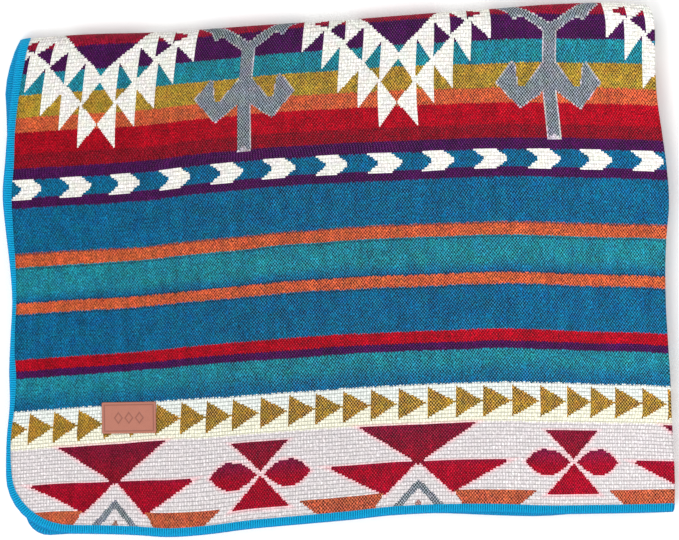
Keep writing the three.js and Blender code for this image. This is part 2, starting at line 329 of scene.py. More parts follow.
@dataclass(frozen=True)
class Run:
    """One stretch of the doubled cloth's path: level where turn is 0, else round a centre."""

    begin: float
    length: float
    start_y: float
    way: float
    level: float
    turn: float = 0.0
    side: float = 1.0
    start: float = 0.0
    sweep: float = 0.0


@dataclass(frozen=True)
class FoldedStack:
    """The blanket doubled side to side and then folded twice end to end, as a map."""

    sheet: float = 3.0
    air: float = 1.0
    width: float = 700.0
    front: float = -254.0
    back: float = 275.0
    lower_fold_tuck: float = 18.0
    corner_radius: float = 60.0
    under_corner_radius: float = 14.0
    binding_width: float = 8.5
    clearance: float = 0.3
    back_loft: float = 0.1
    back_loft_reach: float = 75.0
    lump: float = 0.018
    lump_length: float = 95.0
    hem_reach: float = 48.0
    back_shift_start: float = 150.0
    creases: tuple[Crease, ...] = ()
    # Faces along each stretch of the path, round the corners and across the two leaves
    run_steps: tuple[int, ...] = (100, 26, 36, 10, 36, 10, 40)
    corner_steps: int = 9
    under_corner_steps: int = 5
    upper_steps: int = 110
    lower_steps: int = 36
    side_fold_steps: int = 10
    least_step: float = 0.4

    @property
    def leaf_pitch(self) -> float:
        """Height from one leaf to the next."""
        return self.sheet + self.air

    @property
    def leaf_offset(self) -> float:
        """Distance of a leaf from the middle of its doubled layer."""
        return self.leaf_pitch / 2

    @property
    def pair_half(self) -> float:
        """Half the thickness of a doubled layer."""
        return self.leaf_offset + self.sheet / 2

    @property
    def outer_turn(self) -> float:
        """Radius of the back fold to the middle of the doubled layer."""
        return 3 * self.leaf_pitch

    @property
    def inner_turn(self) -> float:
        """Radius of the folds inside the stack."""
        return self.leaf_pitch

    @property
    def side_fold_x(self) -> float:
        """Place across of the side fold's centre."""
        return self.width / 2 - self.pair_half

    @property
    def side_arc(self) -> float:
        """Half the cloth's way round the side fold."""
        return math.pi / 2 * self.leaf_offset

    @property
    def back_y(self) -> float:
        """Where the back folds begin."""
        return self.back - self.outer_turn - self.pair_half

    @property
    def hem_y(self) -> float:
        """Where the cloth ends at the front."""
        return self.front + self.binding_width + self.clearance

    @property
    def lower_fold_y(self) -> float:
        """Where the fold at the front begins."""
        return self.front + self.lower_fold_tuck + self.inner_turn + self.pair_half

    @property
    def half_cloth(self) -> float:
        """Half the cloth's width, before its corners and edges are drawn in."""
        return self.side_fold_x + self.width / 2 - self.binding_width - self.clearance + self.side_arc

    @property
    def runs(self) -> tuple[Run, ...]:
        """The stretches of the path in order, from the top hem to the hem under it.

        Returns:
            One stretch for each level part and each fold.
        """
        flat_out = self.back_y - self.hem_y
        flat_in = self.back_y - self.lower_fold_y
        outer = math.pi * self.outer_turn
        inner = math.pi * self.inner_turn
        quarter = math.pi / 2
        plan = (
            dict(length=flat_out, start_y=self.hem_y, way=1, level=4),
            dict(length=outer, start_y=self.back_y, way=1, level=2.5, turn=self.outer_turn,
                 start=quarter, sweep=-math.pi),
            dict(length=flat_in, start_y=self.back_y, way=-1, level=1),
            dict(length=inner, start_y=self.lower_fold_y, way=1, level=1.5, turn=self.inner_turn,
                 start=-quarter, sweep=-math.pi),
            dict(length=flat_in, start_y=self.lower_fold_y, way=1, level=2),
            dict(length=inner, start_y=self.back_y, way=1, level=2.5, turn=self.inner_turn,
                 side=-1, start=quarter, sweep=math.pi),
            dict(length=flat_out, start_y=self.back_y, way=-1, level=3),
        )
        begins = np.concatenate([[0], np.cumsum([row["length"] for row in plan])])
        return tuple(Run(begin=begin, **row) for begin, row in zip(begins, plan))

    @property
    def length(self) -> float:
        """Length of the cloth along its path."""
        last = self.runs[-1]
        return last.begin + last.length

    def level_height(self, level: float) -> float:
        """Height of the middle of a doubled layer, counted from the bottom."""
        return self.pair_half + (level - 1) * 2 * self.leaf_pitch

    def path_at(self, q: np.ndarray) -> tuple[np.ndarray, ...]:
        """Place and face direction of the doubled cloth's middle.

        Args:
            q: distances along the cloth from its top hem.

        Returns:
            y, z and the two parts of the direction that the face looks in.
        """
        y, z, face_y, face_z = (np.zeros_like(q) for _ in range(4))
        for number, run in enumerate(self.runs):
            here = q >= run.begin if number else np.ones_like(q, bool)
            along = q[here] - run.begin
            if run.turn:
                angle = run.start + run.sweep * along / run.length
                y[here] = run.start_y + run.side * run.turn * np.cos(angle)
                z[here] = self.level_height(run.level) + run.side * run.turn * np.sin(angle)
                face_y[here] = np.cos(angle)
                face_z[here] = np.sin(angle)
            else:
                y[here] = run.start_y + run.way * along
                z[here] = self.level_height(run.level)
                face_y[here] = 0
                face_z[here] = run.way
        return y, z, face_y, face_z

    def fold_count(self, q: np.ndarray) -> np.ndarray:
        """Which fold each place along the cloth is at, counted from the top hem.

        Args:
            q: distances along the cloth from its top hem.

        Returns:
            The count, 0 at the top hem and 4 at the hem under it.
        """
        runs = self.runs
        middles = [runs[i].begin + runs[i].length / 2 for i in (1, 3, 5)]
        places = [0, *middles, self.length]
        return np.interp(q, places, range(len(places)))

    def loft(self, x: np.ndarray, y: np.ndarray) -> np.ndarray:
        """Share of the stack's height that its loft adds at each place.

        Args:
            x: places across.
            y: places from front to back.

        Returns:
            The share at each place.
        """
        back = self.back_loft * np.exp(-(((y - self.back_y) / self.back_loft_reach) ** 2))
        lumps = self.lump * np.sin(x / self.lump_length) * np.cos(y / self.lump_length)
        top = self.level_height(4) + self.pair_half
        return back + lumps + sum(crease.rise(x, y) for crease in self.creases) / top

    def settle(self, x: np.ndarray, y: np.ndarray, z: np.ndarray) -> np.ndarray:
        """Lays the neat stack down with its wavy sides, bowed stripes and full back.

        Args:
            x: places across the neat stack.
            y: places from its front to its back.
            z: heights.

        Returns:
            Places in millimetres in the stack as it lies.
        """
        left = curve_through(EDGES, 1, y)
        right = curve_through(EDGES, 2, y)
        settled_x = right - (self.width / 2 - x) * (right - left) / self.width
        near_back = smooth_step(y, self.back_shift_start, self.back_y)
        bow = curve_through(LIE, 1, settled_x)
        settled_y = y + bow + near_back * curve_through(LIE, 2, settled_x)
        settled_z = z * (1 + self.loft(settled_x, settled_y))
        return np.stack([settled_x, settled_y, settled_z], -1)

    def folded(self, s: np.ndarray, q: np.ndarray, depth: np.ndarray | float) -> np.ndarray:
        """Place in the stack of points of the cloth.

        Args:
            s: distance across from the side fold, below 0 on the upper leaf.
            q: distance along from the top hem.
            depth: distance from the middle of the thickness, above 0 on the outer side.

        Returns:
            Places in millimetres.
        """
        s, q, depth = np.broadcast_arrays(np.asarray(s, float), np.asarray(q, float), depth)
        path_y, path_z, face_y, face_z = self.path_at(q)
        past = np.maximum(np.abs(s) - self.side_arc, 0)
        angle = np.clip(s, -self.side_arc, self.side_arc) / self.leaf_offset
        radius = self.leaf_offset + depth
        x = self.side_fold_x + radius * np.cos(angle) - past
        offset = -radius * np.sin(angle)
        near = np.exp(-((np.maximum(q, 0) / self.hem_reach) ** 2))
        far = np.exp(-((np.maximum(self.length - q, 0) / self.hem_reach) ** 2))
        wave = curve_through(LIE, 3, x) * near + curve_through(LIE, 4, x) * far
        return self.settle(x, path_y + offset * face_y + wave, path_z + offset * face_z)

    def half_width(self, q: np.ndarray, side: int) -> np.ndarray:
        """Half width of the cloth along q, on the upper leaf for side -1 and the lower for 1.

        Args:
            q: distances along the cloth from its top hem.
            side: -1 for the upper leaf and 1 for the lower.

        Returns:
            The half width at each place.
        """
        corners = 0
        for distance, radius in ((q, self.corner_radius), (self.length - q, self.under_corner_radius)):
            left = np.clip(radius - distance, 0, radius)
            corners = corners + radius - np.sqrt(radius**2 - left**2)
        fold = self.fold_count(q)
        tuck = curve_through(SKEW, 2, fold) if side > 0 else 0
        spare = self.binding_width - curve_through(LEFT_BINDING, 1, q) if side < 0 else 0
        return self.half_cloth - corners - curve_through(SKEW, 1, fold) - tuck + spare

    def row_places(self) -> np.ndarray:
        """Places along the cloth where its faces change, closest where they show.

        Returns:
            The places in order.
        """
        pieces = []
        corner = self.corner_radius * (1 - np.cos(np.linspace(0, math.pi / 2, self.corner_steps + 1)))
        for run, count in zip(self.runs, self.run_steps):
            start = run.begin + self.corner_radius if run.begin == 0 else run.begin
            pieces.append(np.linspace(start, run.begin + run.length, count + 1))
        turn = np.linspace(0, math.pi / 2, self.under_corner_steps + 1)
        under = self.under_corner_radius * (1 - np.cos(turn))
        places = np.concatenate([corner, *pieces, self.length - under])
        places.sort()
        return places[np.concatenate([[True], np.diff(places) > self.least_step])]

    def column_places(self, q: np.ndarray) -> np.ndarray:
        """Places across the cloth for each place along it, as rows.

        Args:
            q: places along the cloth.

        Returns:
            One row of places for each of them.
        """
        upper = np.linspace(1, 0, self.upper_steps + 1)[None, :-1]
        lower = np.linspace(0, 1, self.lower_steps + 1)[None, 1:]
        around = np.linspace(-self.side_arc, self.side_arc, self.side_fold_steps + 1)[None, :]
        wide_upper = self.half_width(q, -1)[:, None] - self.side_arc
        wide_lower = self.half_width(q, 1)[:, None] - self.side_arc
        return np.concatenate(
            [
                -self.side_arc - upper * wide_upper,
                np.repeat(around, len(q), 0),
                self.side_arc + lower * wide_lower,
            ],
            1,
        )


class Band(Enum):
    """Yarns of the cloth: colour, and how strongly dark specks, grid lines and pale dots show."""

    WHITE = ("#C0BABB", 0.0, 0.48, 0.0)
    BRIGHT_WHITE = ("#D2D0CA", 0.0, 0.34, 0.0)
    CREAM = ("#D2D0BC", 0.0, 0.50, 0.0)
    PETROL = ("#015A81", 0.92, 0.0, 0.13)
    TEAL = ("#147889", 0.95, 0.0, 0.18)
    PURPLE = ("#3E0843", 0.85, 0.0, 0.10)
    RED = ("#980216", 0.60, 0.0, 0.07)
    DARK_RED = ("#7C0618", 0.72, 0.0, 0.09)
    # Red of the top stripe, painted darker as shade where it rolls round the back fold
    RED_IN_PAINTED_SHADE = ("#8A0A28", 0.75, 0.0, 0.09)
    SCARLET = ("#8E021C", 0.60, 0.0, 0.07)
    ORANGE = ("#BD542E", 0.95, 0.0, 0.16)
    RUST = ("#AE5233", 0.95, 0.0, 0.16)
    GOLD = ("#A07F24", 1.0, 0.0, 0.20)
    OLD_GOLD = ("#A0781F", 1.25, 0.0, 0.32)
    GREY = ("#717880", 1.15, 0.0, 0.85)
    PALE_GREY = ("#A7A2A6", 0.45, 0.0, 0.40)
    BROWN = ("#8E6B62", 0.60, 0.0, 0.20)


# Stripes from the hem to the back fold: the height in millimetres where each begins
STRIPES = (
    (0.0, Band.WHITE),
    (92.4, Band.CREAM),
    (134.1, Band.TEAL),
    (167.5, Band.PURPLE),
    (177.5, Band.RED),
    (190.1, Band.PETROL),
    (236.8, Band.ORANGE),
    (249.4, Band.TEAL),
    (288.2, Band.ORANGE),
    (301.9, Band.PETROL),
    (347.6, Band.PURPLE),
    (357.5, Band.PETROL),
    (378.0, Band.PURPLE),
    (390.0, Band.DARK_RED),
    (404.0, Band.RED),
    (426.4, Band.ORANGE),
    (443.6, Band.GOLD),
    (467.8, Band.TEAL),
    (490.4, Band.PURPLE),
    # The top stripe is painted darker as shade on the roll of the back fold
    (516.6, Band.RED_IN_PAINTED_SHADE),
)

# Outlines of the figures in chart steps: distance from the figure's middle, and either the
# height above the chevron band or the depth below its top
FEATHER = (
    ((0, 50.5), (19, 26), (19, 230), (0, 230)),
    ((19, 71.5), (38, 46), (38, 230), (19, 230)),
    ((38, 85), (57, 63), (57, 230), (38, 230)),
    ((57, 112), (74.5, 88), (74.5, 230), (57, 230)),
    ((74.5, 126.5), (94, 108.5), (94, 230), (74.5, 230)),
)
FEATHER_OPENINGS = (
    ((-16.2, 71.5), (0, 50.5), (16.2, 71.5), (0, 94.3)),
    ((17.5, 74), (33, 92.5), (17.5, 113)),
    ((36, 94.5), (52.6, 113), (36, 127.5)),
    ((53, 116), (68.5, 127), (53, 136)),
    ((70, 129), (87, 134), (70, 139)),
    ((5, 107.5), (46.5, 144), (46.5, 230), (5, 230)),
    ((-5, 100), (0, 100), (7, 109), (7, 230), (-5, 230)),
)
TREE = (
    ((-6.3, 11), (6.3, 11), (6.3, 121), (-6.3, 121)),
    ((0, 115), (6, 116), (24, 128), (22, 134), (0, 122.5)),
    ((21, 133.5), (24, 128), (46, 136), (54, 141), (48, 146), (34, 141)),
    ((29, 131), (36, 127), (43, 135)),
    ((6, 86), (6, 59.5), (25, 45.6), (25, 63)),
    ((24, 63), (24, 46.4), (30, 42), (34, 46), (34, 63)),
    ((31.5, 60), (31, 43), (52.5, 67.5), (37.5, 86.5), (34.5, 84)),
)
TREE_OPENINGS = (
    ((-4, 9), (4, 9), (4, 13), (0, 15), (-4, 13)),
)
HOURGLASS_TOP = (
    ((-57.6, 272.7), (57.6, 272.7), (6.3, 308), (-6.3, 308)),
    ((-6.3, 307), (6.3, 307), (6.3, 311), (0, 313), (-6.3, 311)),
)
HOURGLASS_WINGS = (
    ((0.5, 310.5), (88, 310.8), (37, 339.5), (32.5, 342)),
)
HOURGLASS_FOOT = (
    ((33, 339), (118, 339), (98, 353), (90, 360), (46, 360)),
)
HOURGLASS_ROOF = (
    ((0, 327.6), (30.1, 360), (20.5, 360), (0, 336.7)),
)
HOURGLASS_DOT = (
    ((0, 347.5), (3.5, 353.9), (3.5, 360), (-3.5, 360), (-3.5, 353.9)),
)
CLOVER_TOP = (
    ((-28, 281), (28, 281), (0, 309.6)),
)
CLOVER_FOOT = (
    ((0, 313), (29.6, 343.8), (-29.6, 343.8)),
)
CLOVER_PETALS = (
    (
        (3, 312), (14, 303.5), (22, 299.8), (34, 299.5), (42, 303.5),
        (50.5, 312), (42, 320.5), (34, 324.5), (22, 324.2), (14, 320.5),
    ),
)


@dataclass(frozen=True)
class WovenCloth:
    """Brushed double-faced alpaca cloth: matt and soft, its colours broken by thread specks."""

    name: str = "brushed_alpaca_cloth"
    # One thread step across and along, which is what the figures' edges are stepped by
    thread_across: float = 1.5
    thread_along: float = 1.95
    # Millimetres between the middles of the two figures that mirror the stripes
    mirror_length: float = 529.0
    chevron_line: float = 378.0
    chart_step: float = 1.05
    feather_middle: float = -259.0
    feather_half: float = 163.85
    feather_stretch: float = 1.04
    tree_rim: float = 0.8
    hourglass_middle: float = -239.0
    hourglass_half: float = 160.0
    chevron_start: float = -341.4
    chevron_pitch: float = 54.5
    triangle_start: float = -275.8
    triangle_pitch: float = 28.2
    # Arrowhead: half its height, where its tip is cut off, its slant and its length, in chart steps
    chevron_half: float = 9.75
    chevron_blunt: float = 1.5
    chevron_slant: float = 12.5
    chevron_length: float = 22.4
    # Triangle: depth of its middle below the chevron band, half its height and its length
    triangle_depth: float = 251.5
    triangle_half: float = 16.0
    triangle_length: float = 26.5
    # Teal stripes that turn blue downwards: where it is all blue, all teal, and the stripe's top
    fades: tuple[tuple[float, float, float], ...] = ((134.1, 163.0, 167.5), (249.4, 266.0, 288.2))
    # Dark ground yarn that shows between the coloured threads
    speck: str = "#0D0D16"
    # Pale fibre tips between the specks of the coloured yarns
    dot: str = "#B9C2CB"
    # Fibre brushed up over the threads catches more light than they do
    fuzz_gain: float = 1.7
    # Red fibre brushed over the white round the red figures, and how far, in chart steps
    blush: str = "#E79AA2"
    blush_reach: float = 3.5
    # Cream yarn turns near-white between these heights
    cream_fade: tuple[float, float] = (110.0, 122.0)
    cream_top: str = "#C8CDC8"
    # Painted shade along both sides of the orange stripes, and its width
    stripe_shade: str = "#122840"
    shade_width: float = 1.7
    shade_share: float = 0.6
    # How far threads of one stripe stray into the next, by chance and at every second thread
    edge_blur: float = 1.4
    edge_step: float = 0.45
    # Plum yarn in the reds: depths in chart steps between which its share falls, and the shares
    plum: str = "#5C1238"
    wing_plum: tuple[float, float, float, float] = (299.0, 316.0, 0.85, 0.0)
    top_plum: tuple[float, float, float, float] = (272.0, 306.0, 0.45, 0.05)
    # How far threads wander, and how many times a metre
    wander: float = 1.6
    wander_rate: float = 22.0
    # Height of the weave's wave over which specks, rows and columns appear, and their full strength
    speck_span: tuple[float, float, float] = (-0.35, 0.65, 1.0)
    row_span: tuple[float, float, float] = (0.3, 1.0, 1.0)
    column_span: tuple[float, float, float] = (0.4, 1.0, 0.75)
    dot_span: tuple[float, float] = (-0.45, -0.9)
    # Share of the weave that shows through the nap at the left, and where the nap thins out
    nap_share: float = 0.5
    nap_span: tuple[float, float] = (-260.0, -40.0)
    # Painted light: how much lighter white yarn is painted at the right edge, and where it grows
    white_painted_light_gain: float = 1.13
    white_painted_light_span: tuple[float, float] = (0.0, 300.0)
    # Lightness of single fibres and of broad clouds
    fibre_gain: tuple[float, float] = (0.25, 1.75)
    cloud_gain: tuple[float, float] = (0.86, 1.12)
    streak_gain: tuple[float, float] = (0.84, 1.16)
    crossing_gain: tuple[float, float] = (0.35, 1.45)
    # How many fibres, clouds and patches of colour a millimetre holds, and the noise they span
    fibre_rate: float = 0.5
    cloud_rate: float = 0.05
    patch_rate: float = 0.1
    noise_span: tuple[float, float] = (0.3, 0.7)
    # How far patches of colour swing, and the least they leave
    patch_swing: float = 0.6
    patch_least: float = 0.7
    # Streaks along the warp and tufts of fibre: how many a millimetre across and along
    streak_rate: tuple[float, float, float] = (0.11, 0.025, 1.0)
    tuft_rate: tuple[float, float, float] = (0.62, 0.3, 1.0)
    tuft_span: tuple[float, float] = (0.48, 0.75)
    # Share of the grid lines that every crossing shows, and how soon a grid calms the fibres
    grid_steadiness: float = 0.65
    calm_gain: float = 1.9
    # Painted light: gain of the cloth's colour from the left edge to the right, and the places it runs
    # between
    painted_light_gain: tuple[float, float] = (0.79, 1.2)
    painted_light_span: tuple[float, float] = (-230.0, 330.0)
    roughness: float = 0.95
    sheen: float = 0.03
    bump_height: float = 0.45

    def build(self) -> Material:
        """Makes the material.

        Returns:
            The cloth's material, which reads its pattern from the cloth's own map.
        """
        material, tree = new_material(self.name)
        place = self._place(tree)
        across, height = self._thread_place(tree, place)
        band, weave = self._stripes(tree, self._stripe_place(tree, place))
        band, weave = self._figures(tree, across, height, band, weave)
        colour, relief = self._threads(tree, place, band, weave)
        bump = add_node(
            tree,
            "ShaderNodeBump",
            {"Strength": 0.6, "Distance": self.bump_height * MM, "Height": relief},
        )
        finish_surface(
            tree,
            {
                "Base Color": colour,
                "Roughness": self.roughness,
                "IOR": 1.5,
                "Specular IOR Level": 0.04,
                "Sheen Weight": self.sheen,
                "Sheen Roughness": 0.5,
                "Normal": bump,
            },
        )
        return material

    def _place(self, tree: Tree) -> Socket:
        """Place on the flat cloth in millimetres, across and along.

        Args:
            tree: the material's node tree.

        Returns:
            The place, which wanders a little as threads do.
        """
        flat = add_node(tree, "ShaderNodeUVMap", uv_map=CLOTH_MAP)
        wander = add_node(
            tree, NOISE, {"Vector": flat, "Scale": self.wander_rate, "Detail": 1.0}, "Color"
        )
        centred = add_node(tree, VECTOR_MATH, {0: wander, 1: (0.5, 0.5, 0.5)}, operation="SUBTRACT")
        scaled = add_node(tree, VECTOR_MATH, {0: flat, "Scale": 1 / MM}, operation="SCALE")
        shift = add_node(tree, VECTOR_MATH, {0: centred, "Scale": self.wander}, operation="SCALE")
        return add_node(tree, VECTOR_MATH, {0: scaled, 1: shift}, operation="ADD")

    def _thread_place(self, tree: Tree, place: Socket) -> tuple[Socket, Socket]:
        """Middle of the thread at each place: across, and the height above the hem figure.

        Args:
            tree: the material's node tree.
            place: place on the flat cloth in millimetres.

        Returns:
            Place across, and height above the middle of the hem figures.
        """
        step = (self.thread_across, self.thread_along, 1.0)
        half = (self.thread_across / 2, self.thread_along / 2, 0.0)
        corner = add_node(tree, VECTOR_MATH, {0: place, 1: step}, operation="SNAP")
        middle = add_node(tree, VECTOR_MATH, {0: corner, 1: half}, operation="ADD")
        across = add_node(tree, "ShaderNodeSeparateXYZ", {0: middle})
        along = across.node.outputs["Y"]
        height = add_node(tree, MATH, {0: along, 1: self.mirror_length}, operation="PINGPONG")
        return across, height

    def _stripe_place(self, tree: Tree, place: Socket) -> Socket:
        """Height above the hem figure, nudged thread by thread so that stripes have woven edges.

        Args:
            tree: the material's node tree.
            place: place on the flat cloth in millimetres.

        Returns:
            The nudged height.
        """
        along = add_node(tree, "ShaderNodeSeparateXYZ", {0: place}, "Y")
        turns = add_node(
            tree, MATH, {0: along.node.outputs["X"], 1: math.pi / self.thread_across}, operation="MULTIPLY"
        )
        wave = add_node(tree, MATH, {0: turns}, operation="COSINE")
        nudged = add_node(tree, MATH, {0: wave, 1: self.edge_step, 2: along}, operation="MULTIPLY_ADD")
        luck = self._luck(tree, place)
        nudged = add_node(tree, MATH, {0: luck, 1: self.edge_blur, 2: nudged}, operation="MULTIPLY_ADD")
        return add_node(tree, MATH, {0: nudged, 1: self.mirror_length}, operation="PINGPONG")

    def _luck(self, tree: Tree, place: Socket) -> Socket:
        """A chance number from 0 to 1 for each single thread crossing.

        Args:
            tree: the material's node tree.
            place: place on the flat cloth in millimetres.

        Returns:
            The number.
        """
        step = (self.thread_across, self.thread_along, 1.0)
        crossing = add_node(tree, VECTOR_MATH, {0: place, 1: step}, operation="SNAP")
        return add_node(tree, "ShaderNodeTexWhiteNoise", {"Vector": crossing})

    def _stripes(self, tree: Tree, height: Socket) -> tuple[Socket, Socket]:
        """Colour of the stripe at a height, and how its weave shows.

        Args:
            tree: the material's node tree.
            height: height above the middle of the hem figures.

        Returns:
            The colour, and the strengths of its specks, grid lines and dots.
        """
        share = add_node(tree, MATH, {0: height, 1: self.mirror_length}, operation="DIVIDE")
        ramps = []
        for pick in (lambda band: linear(band.value[0]), lambda band: (*band.value[1:], 1.0)):
            ramp = add_node(tree, "ShaderNodeValToRGB", {"Fac": share})
            bar = ramp.node.color_ramp
            bar.interpolation = "CONSTANT"
            while len(bar.elements) < len(STRIPES):
                bar.elements.new(1.0)
            for element, (begin, band) in zip(bar.elements, STRIPES):
                element.position = begin / self.mirror_length
                element.color = pick(band)
            ramps.append(ramp)
        colour = ramps[0]
        for low, high, top in self.fades:
            towards = add_node(
                tree,
                MAP_RANGE,
                {"Value": height, "From Min": high, "From Max": low},
                interpolation_type="SMOOTHSTEP",
            )
            inside = self._between(tree, height, low, top)
            amount = add_node(tree, MATH, {0: towards, 1: inside}, operation="MULTIPLY")
            colour = self._mix(tree, amount, colour, linear(Band.PETROL.value[0]))
        for (low, band), (high, _) in zip(STRIPES, STRIPES[1:]):
            # Painted shade along both sides of the orange stripes below the chevron band
            if band is Band.ORANGE and high < self.chevron_line:
                wide = self._between(tree, height, low - self.shade_width, high + self.shade_width)
                stripe = self._between(tree, height, low, high)
                sides = add_node(tree, MATH, {0: wide, 1: stripe}, operation="SUBTRACT", use_clamp=True)
                amount = add_node(tree, MATH, {0: sides, 1: self.shade_share}, operation="MULTIPLY")
                colour = self._mix(tree, amount, colour, linear(self.stripe_shade))
            if band is Band.CREAM:
                paler = add_node(
                    tree,
                    MAP_RANGE,
                    {"Value": height, "From Min": self.cream_fade[0], "From Max": self.cream_fade[1]},
                )
                inside = self._between(tree, height, low, high)
                amount = add_node(tree, MATH, {0: paler, 1: inside}, operation="MULTIPLY")
                colour = self._mix(tree, amount, colour, linear(self.cream_top))
        return colour, ramps[1]

    def _between(self, tree: Tree, value: Socket, low: float, high: float) -> Socket:
        """1 where a value lies between two numbers, else 0."""
        half = (high - low) / 2
        return add_node(tree, MATH, {0: value, 1: low + half, 2: half}, operation="COMPARE")

    def _mix(
        self,
        tree: Tree,
        amount: Socket,
        first: Socket,
        second: Socket | tuple,
        blend: str = "MIX",
    ) -> Socket:
        """Mixes a second colour into a first by an amount."""
        return add_node(
            tree, MIX, {0: amount, 6: first, 7: second}, 2, data_type="RGBA", blend_type=blend
        )

    def _distance(self, tree: Tree, chart: Socket, outlines: tuple) -> Socket:
        """How far outside the nearest of some outlines each place lies.

        Args:
            tree: the material's node tree.
            chart: the place in chart steps, with 1 as its third part.
            outlines: the corners, in order, of each outline; none has a dent.

        Returns:
            The distance in chart steps, below 0 inside.
        """
        nearest = None
        for outline in outlines:
            corners = np.array(outline, float)
            centre = corners.mean(0)
            farthest = None
            for here, there in zip(corners, np.roll(corners, -1, 0)):
                normal = np.array([there[1] - here[1], here[0] - there[0]])
                normal = normal / np.hypot(*normal)
                if normal @ (centre - here) > 0:
                    normal = -normal
                edge = (normal[0], normal[1], -normal @ here)
                past = add_node(tree, VECTOR_MATH, {0: chart, 1: edge}, "Value", operation="DOT_PRODUCT")
                if farthest is not None:
                    past = add_node(tree, MATH, {0: farthest, 1: past}, operation="MAXIMUM")
                farthest = past
            if nearest is not None:
                farthest = add_node(tree, MATH, {0: nearest, 1: farthest}, operation="MINIMUM")
            nearest = farthest
        return nearest

    def _within(self, tree: Tree, distance: Socket, margin: float = 0.0) -> Socket:
        """1 where a distance is less than a margin, else 0."""
        return add_node(tree, MATH, {0: distance, 1: margin}, operation="LESS_THAN")

    def _inside(self, tree: Tree, chart: Socket, outlines: tuple) -> Socket:
        """1 inside any of some outlines and 0 outside."""
        return self._within(tree, self._distance(tree, chart, outlines))

    def _chart(self, tree: Tree, away: Socket, up: Socket) -> Socket:
        """Place in a figure's chart, from its distance and height in millimetres.

        Args:
            tree: the material's node tree.
            away: distance from the figure's middle.
            up: height above the chevron band, or depth below its top.

        Returns:
            The place in chart steps, with 1 as its third part.
        """
        step = 1 / self.chart_step
        flat = add_node(tree, "ShaderNodeCombineXYZ", {"X": away, "Y": up})
        scaled = add_node(tree, VECTOR_MATH, {0: flat, "Scale": step}, operation="SCALE")
        return add_node(tree, VECTOR_MATH, {0: scaled, 1: (0.0, 0.0, 1.0)}, operation="ADD")

    def _repeat(self, tree: Tree, across: Socket, middle: float, half: float) -> tuple[Socket, Socket]:
        """Distance from the nearest figure of a mirrored repeat, and from the one between.

        Args:
            tree: the material's node tree.
            across: place across the cloth.
            middle: where one figure is.
            half: distance from it to the figure between.

        Returns:
            The two distances.
        """
        moved = add_node(tree, MATH, {0: across, 1: middle}, operation="SUBTRACT")
        near = add_node(tree, MATH, {0: moved, 1: half}, operation="PINGPONG")
        between = add_node(tree, MATH, {0: half, 1: near}, operation="SUBTRACT")
        return near, between

    def _row_of(self, tree: Tree, across: Socket, start: float, pitch: float) -> Socket:
        """Distance from the left end of the nearest figure of a plain row, in chart steps.

        Args:
            tree: the material's node tree.
            across: place across the cloth.
            start: left end of one figure.
            pitch: distance from one figure to the next.

        Returns:
            The distance.
        """
        moved = add_node(tree, MATH, {0: across, 1: start}, operation="SUBTRACT")
        local = add_node(tree, MATH, {0: moved, 1: pitch}, operation="FLOORED_MODULO")
        return add_node(tree, MATH, {0: local, 1: self.chart_step}, operation="DIVIDE")

    def _figures(
        self,
        tree: Tree,
        across: Socket,
        height: Socket,
        colour: Socket,
        weave: Socket,
    ) -> tuple[Socket, Socket]:
        """Lays the figures over the stripes.

        Args:
            tree: the material's node tree.
            across: place across the cloth.
            height: height above the middle of the hem figures.
            colour: the stripes' colour.
            weave: how the stripes' weave shows.

        Returns:
            The colour and the weave with the figures in them.
        """
        up = add_node(tree, MATH, {0: height, 1: self.chevron_line}, operation="SUBTRACT")
        down = add_node(tree, MATH, {0: up, 1: -1.0}, operation="MULTIPLY")
        depth = add_node(tree, MATH, {0: down, 1: self.chart_step}, operation="DIVIDE")
        by_feather, by_tree = self._repeat(tree, across, self.feather_middle, self.feather_half)
        by_hourglass, by_clover = self._repeat(tree, across, self.hourglass_middle, self.hourglass_half)
        drawn = add_node(tree, MATH, {0: by_feather, 1: self.feather_stretch}, operation="DIVIDE")
        feather = self._chart(tree, drawn, up)
        trees = self._chart(tree, by_tree, up)
        hourglass = self._chart(tree, by_hourglass, down)
        clover = self._chart(tree, by_clover, down)

        white = self._inside(tree, feather, FEATHER)
        hole = self._inside(tree, feather, FEATHER_OPENINGS)
        white = add_node(tree, MATH, {0: white, 1: hole}, operation="SUBTRACT", use_clamp=True)
        chevrons = self._chevrons(tree, across, depth)
        white = add_node(tree, MATH, {0: white, 1: chevrons}, operation="MAXIMUM")
        from_tree = self._distance(tree, trees, TREE)
        grey = self._within(tree, from_tree)
        notch = self._inside(tree, trees, TREE_OPENINGS)
        grey = add_node(tree, MATH, {0: grey, 1: notch}, operation="SUBTRACT", use_clamp=True)
        roof = self._inside(tree, hourglass, HOURGLASS_ROOF)
        grey = add_node(tree, MATH, {0: grey, 1: roof}, operation="MAXIMUM")
        plum = self._nearest(
            tree,
            self._distance(tree, hourglass, HOURGLASS_TOP),
            self._distance(tree, clover, CLOVER_TOP),
        )
        scarlet = self._nearest(
            tree,
            self._distance(tree, hourglass, HOURGLASS_WINGS),
            self._distance(tree, clover, CLOVER_FOOT),
            self._distance(tree, clover, CLOVER_PETALS),
        )
        dark_red = self._within(tree, plum)
        reds = self._within(tree, scarlet)
        colour = self._blush(tree, self._nearest(tree, plum, scarlet), colour)
        rim = self._within(tree, from_tree, self.tree_rim)
        layers = (
            (rim, Band.PALE_GREY),
            (white, Band.BRIGHT_WHITE),
            (grey, Band.GREY),
            (reds, Band.SCARLET),
            (dark_red, Band.DARK_RED),
            (self._inside(tree, hourglass, HOURGLASS_FOOT), Band.RUST),
            (self._inside(tree, hourglass, HOURGLASS_DOT), Band.BROWN),
            (self._triangles(tree, across, depth), Band.OLD_GOLD),
        )
        for mask, band in layers:
            colour = self._mix(tree, mask, colour, linear(band.value[0]))
            weave = self._mix(tree, mask, weave, (*band.value[1:], 1.0))
        shaded = self._deepen(tree, depth, reds, dark_red)
        colour = self._mix(tree, shaded, colour, linear(self.plum))
        return colour, weave

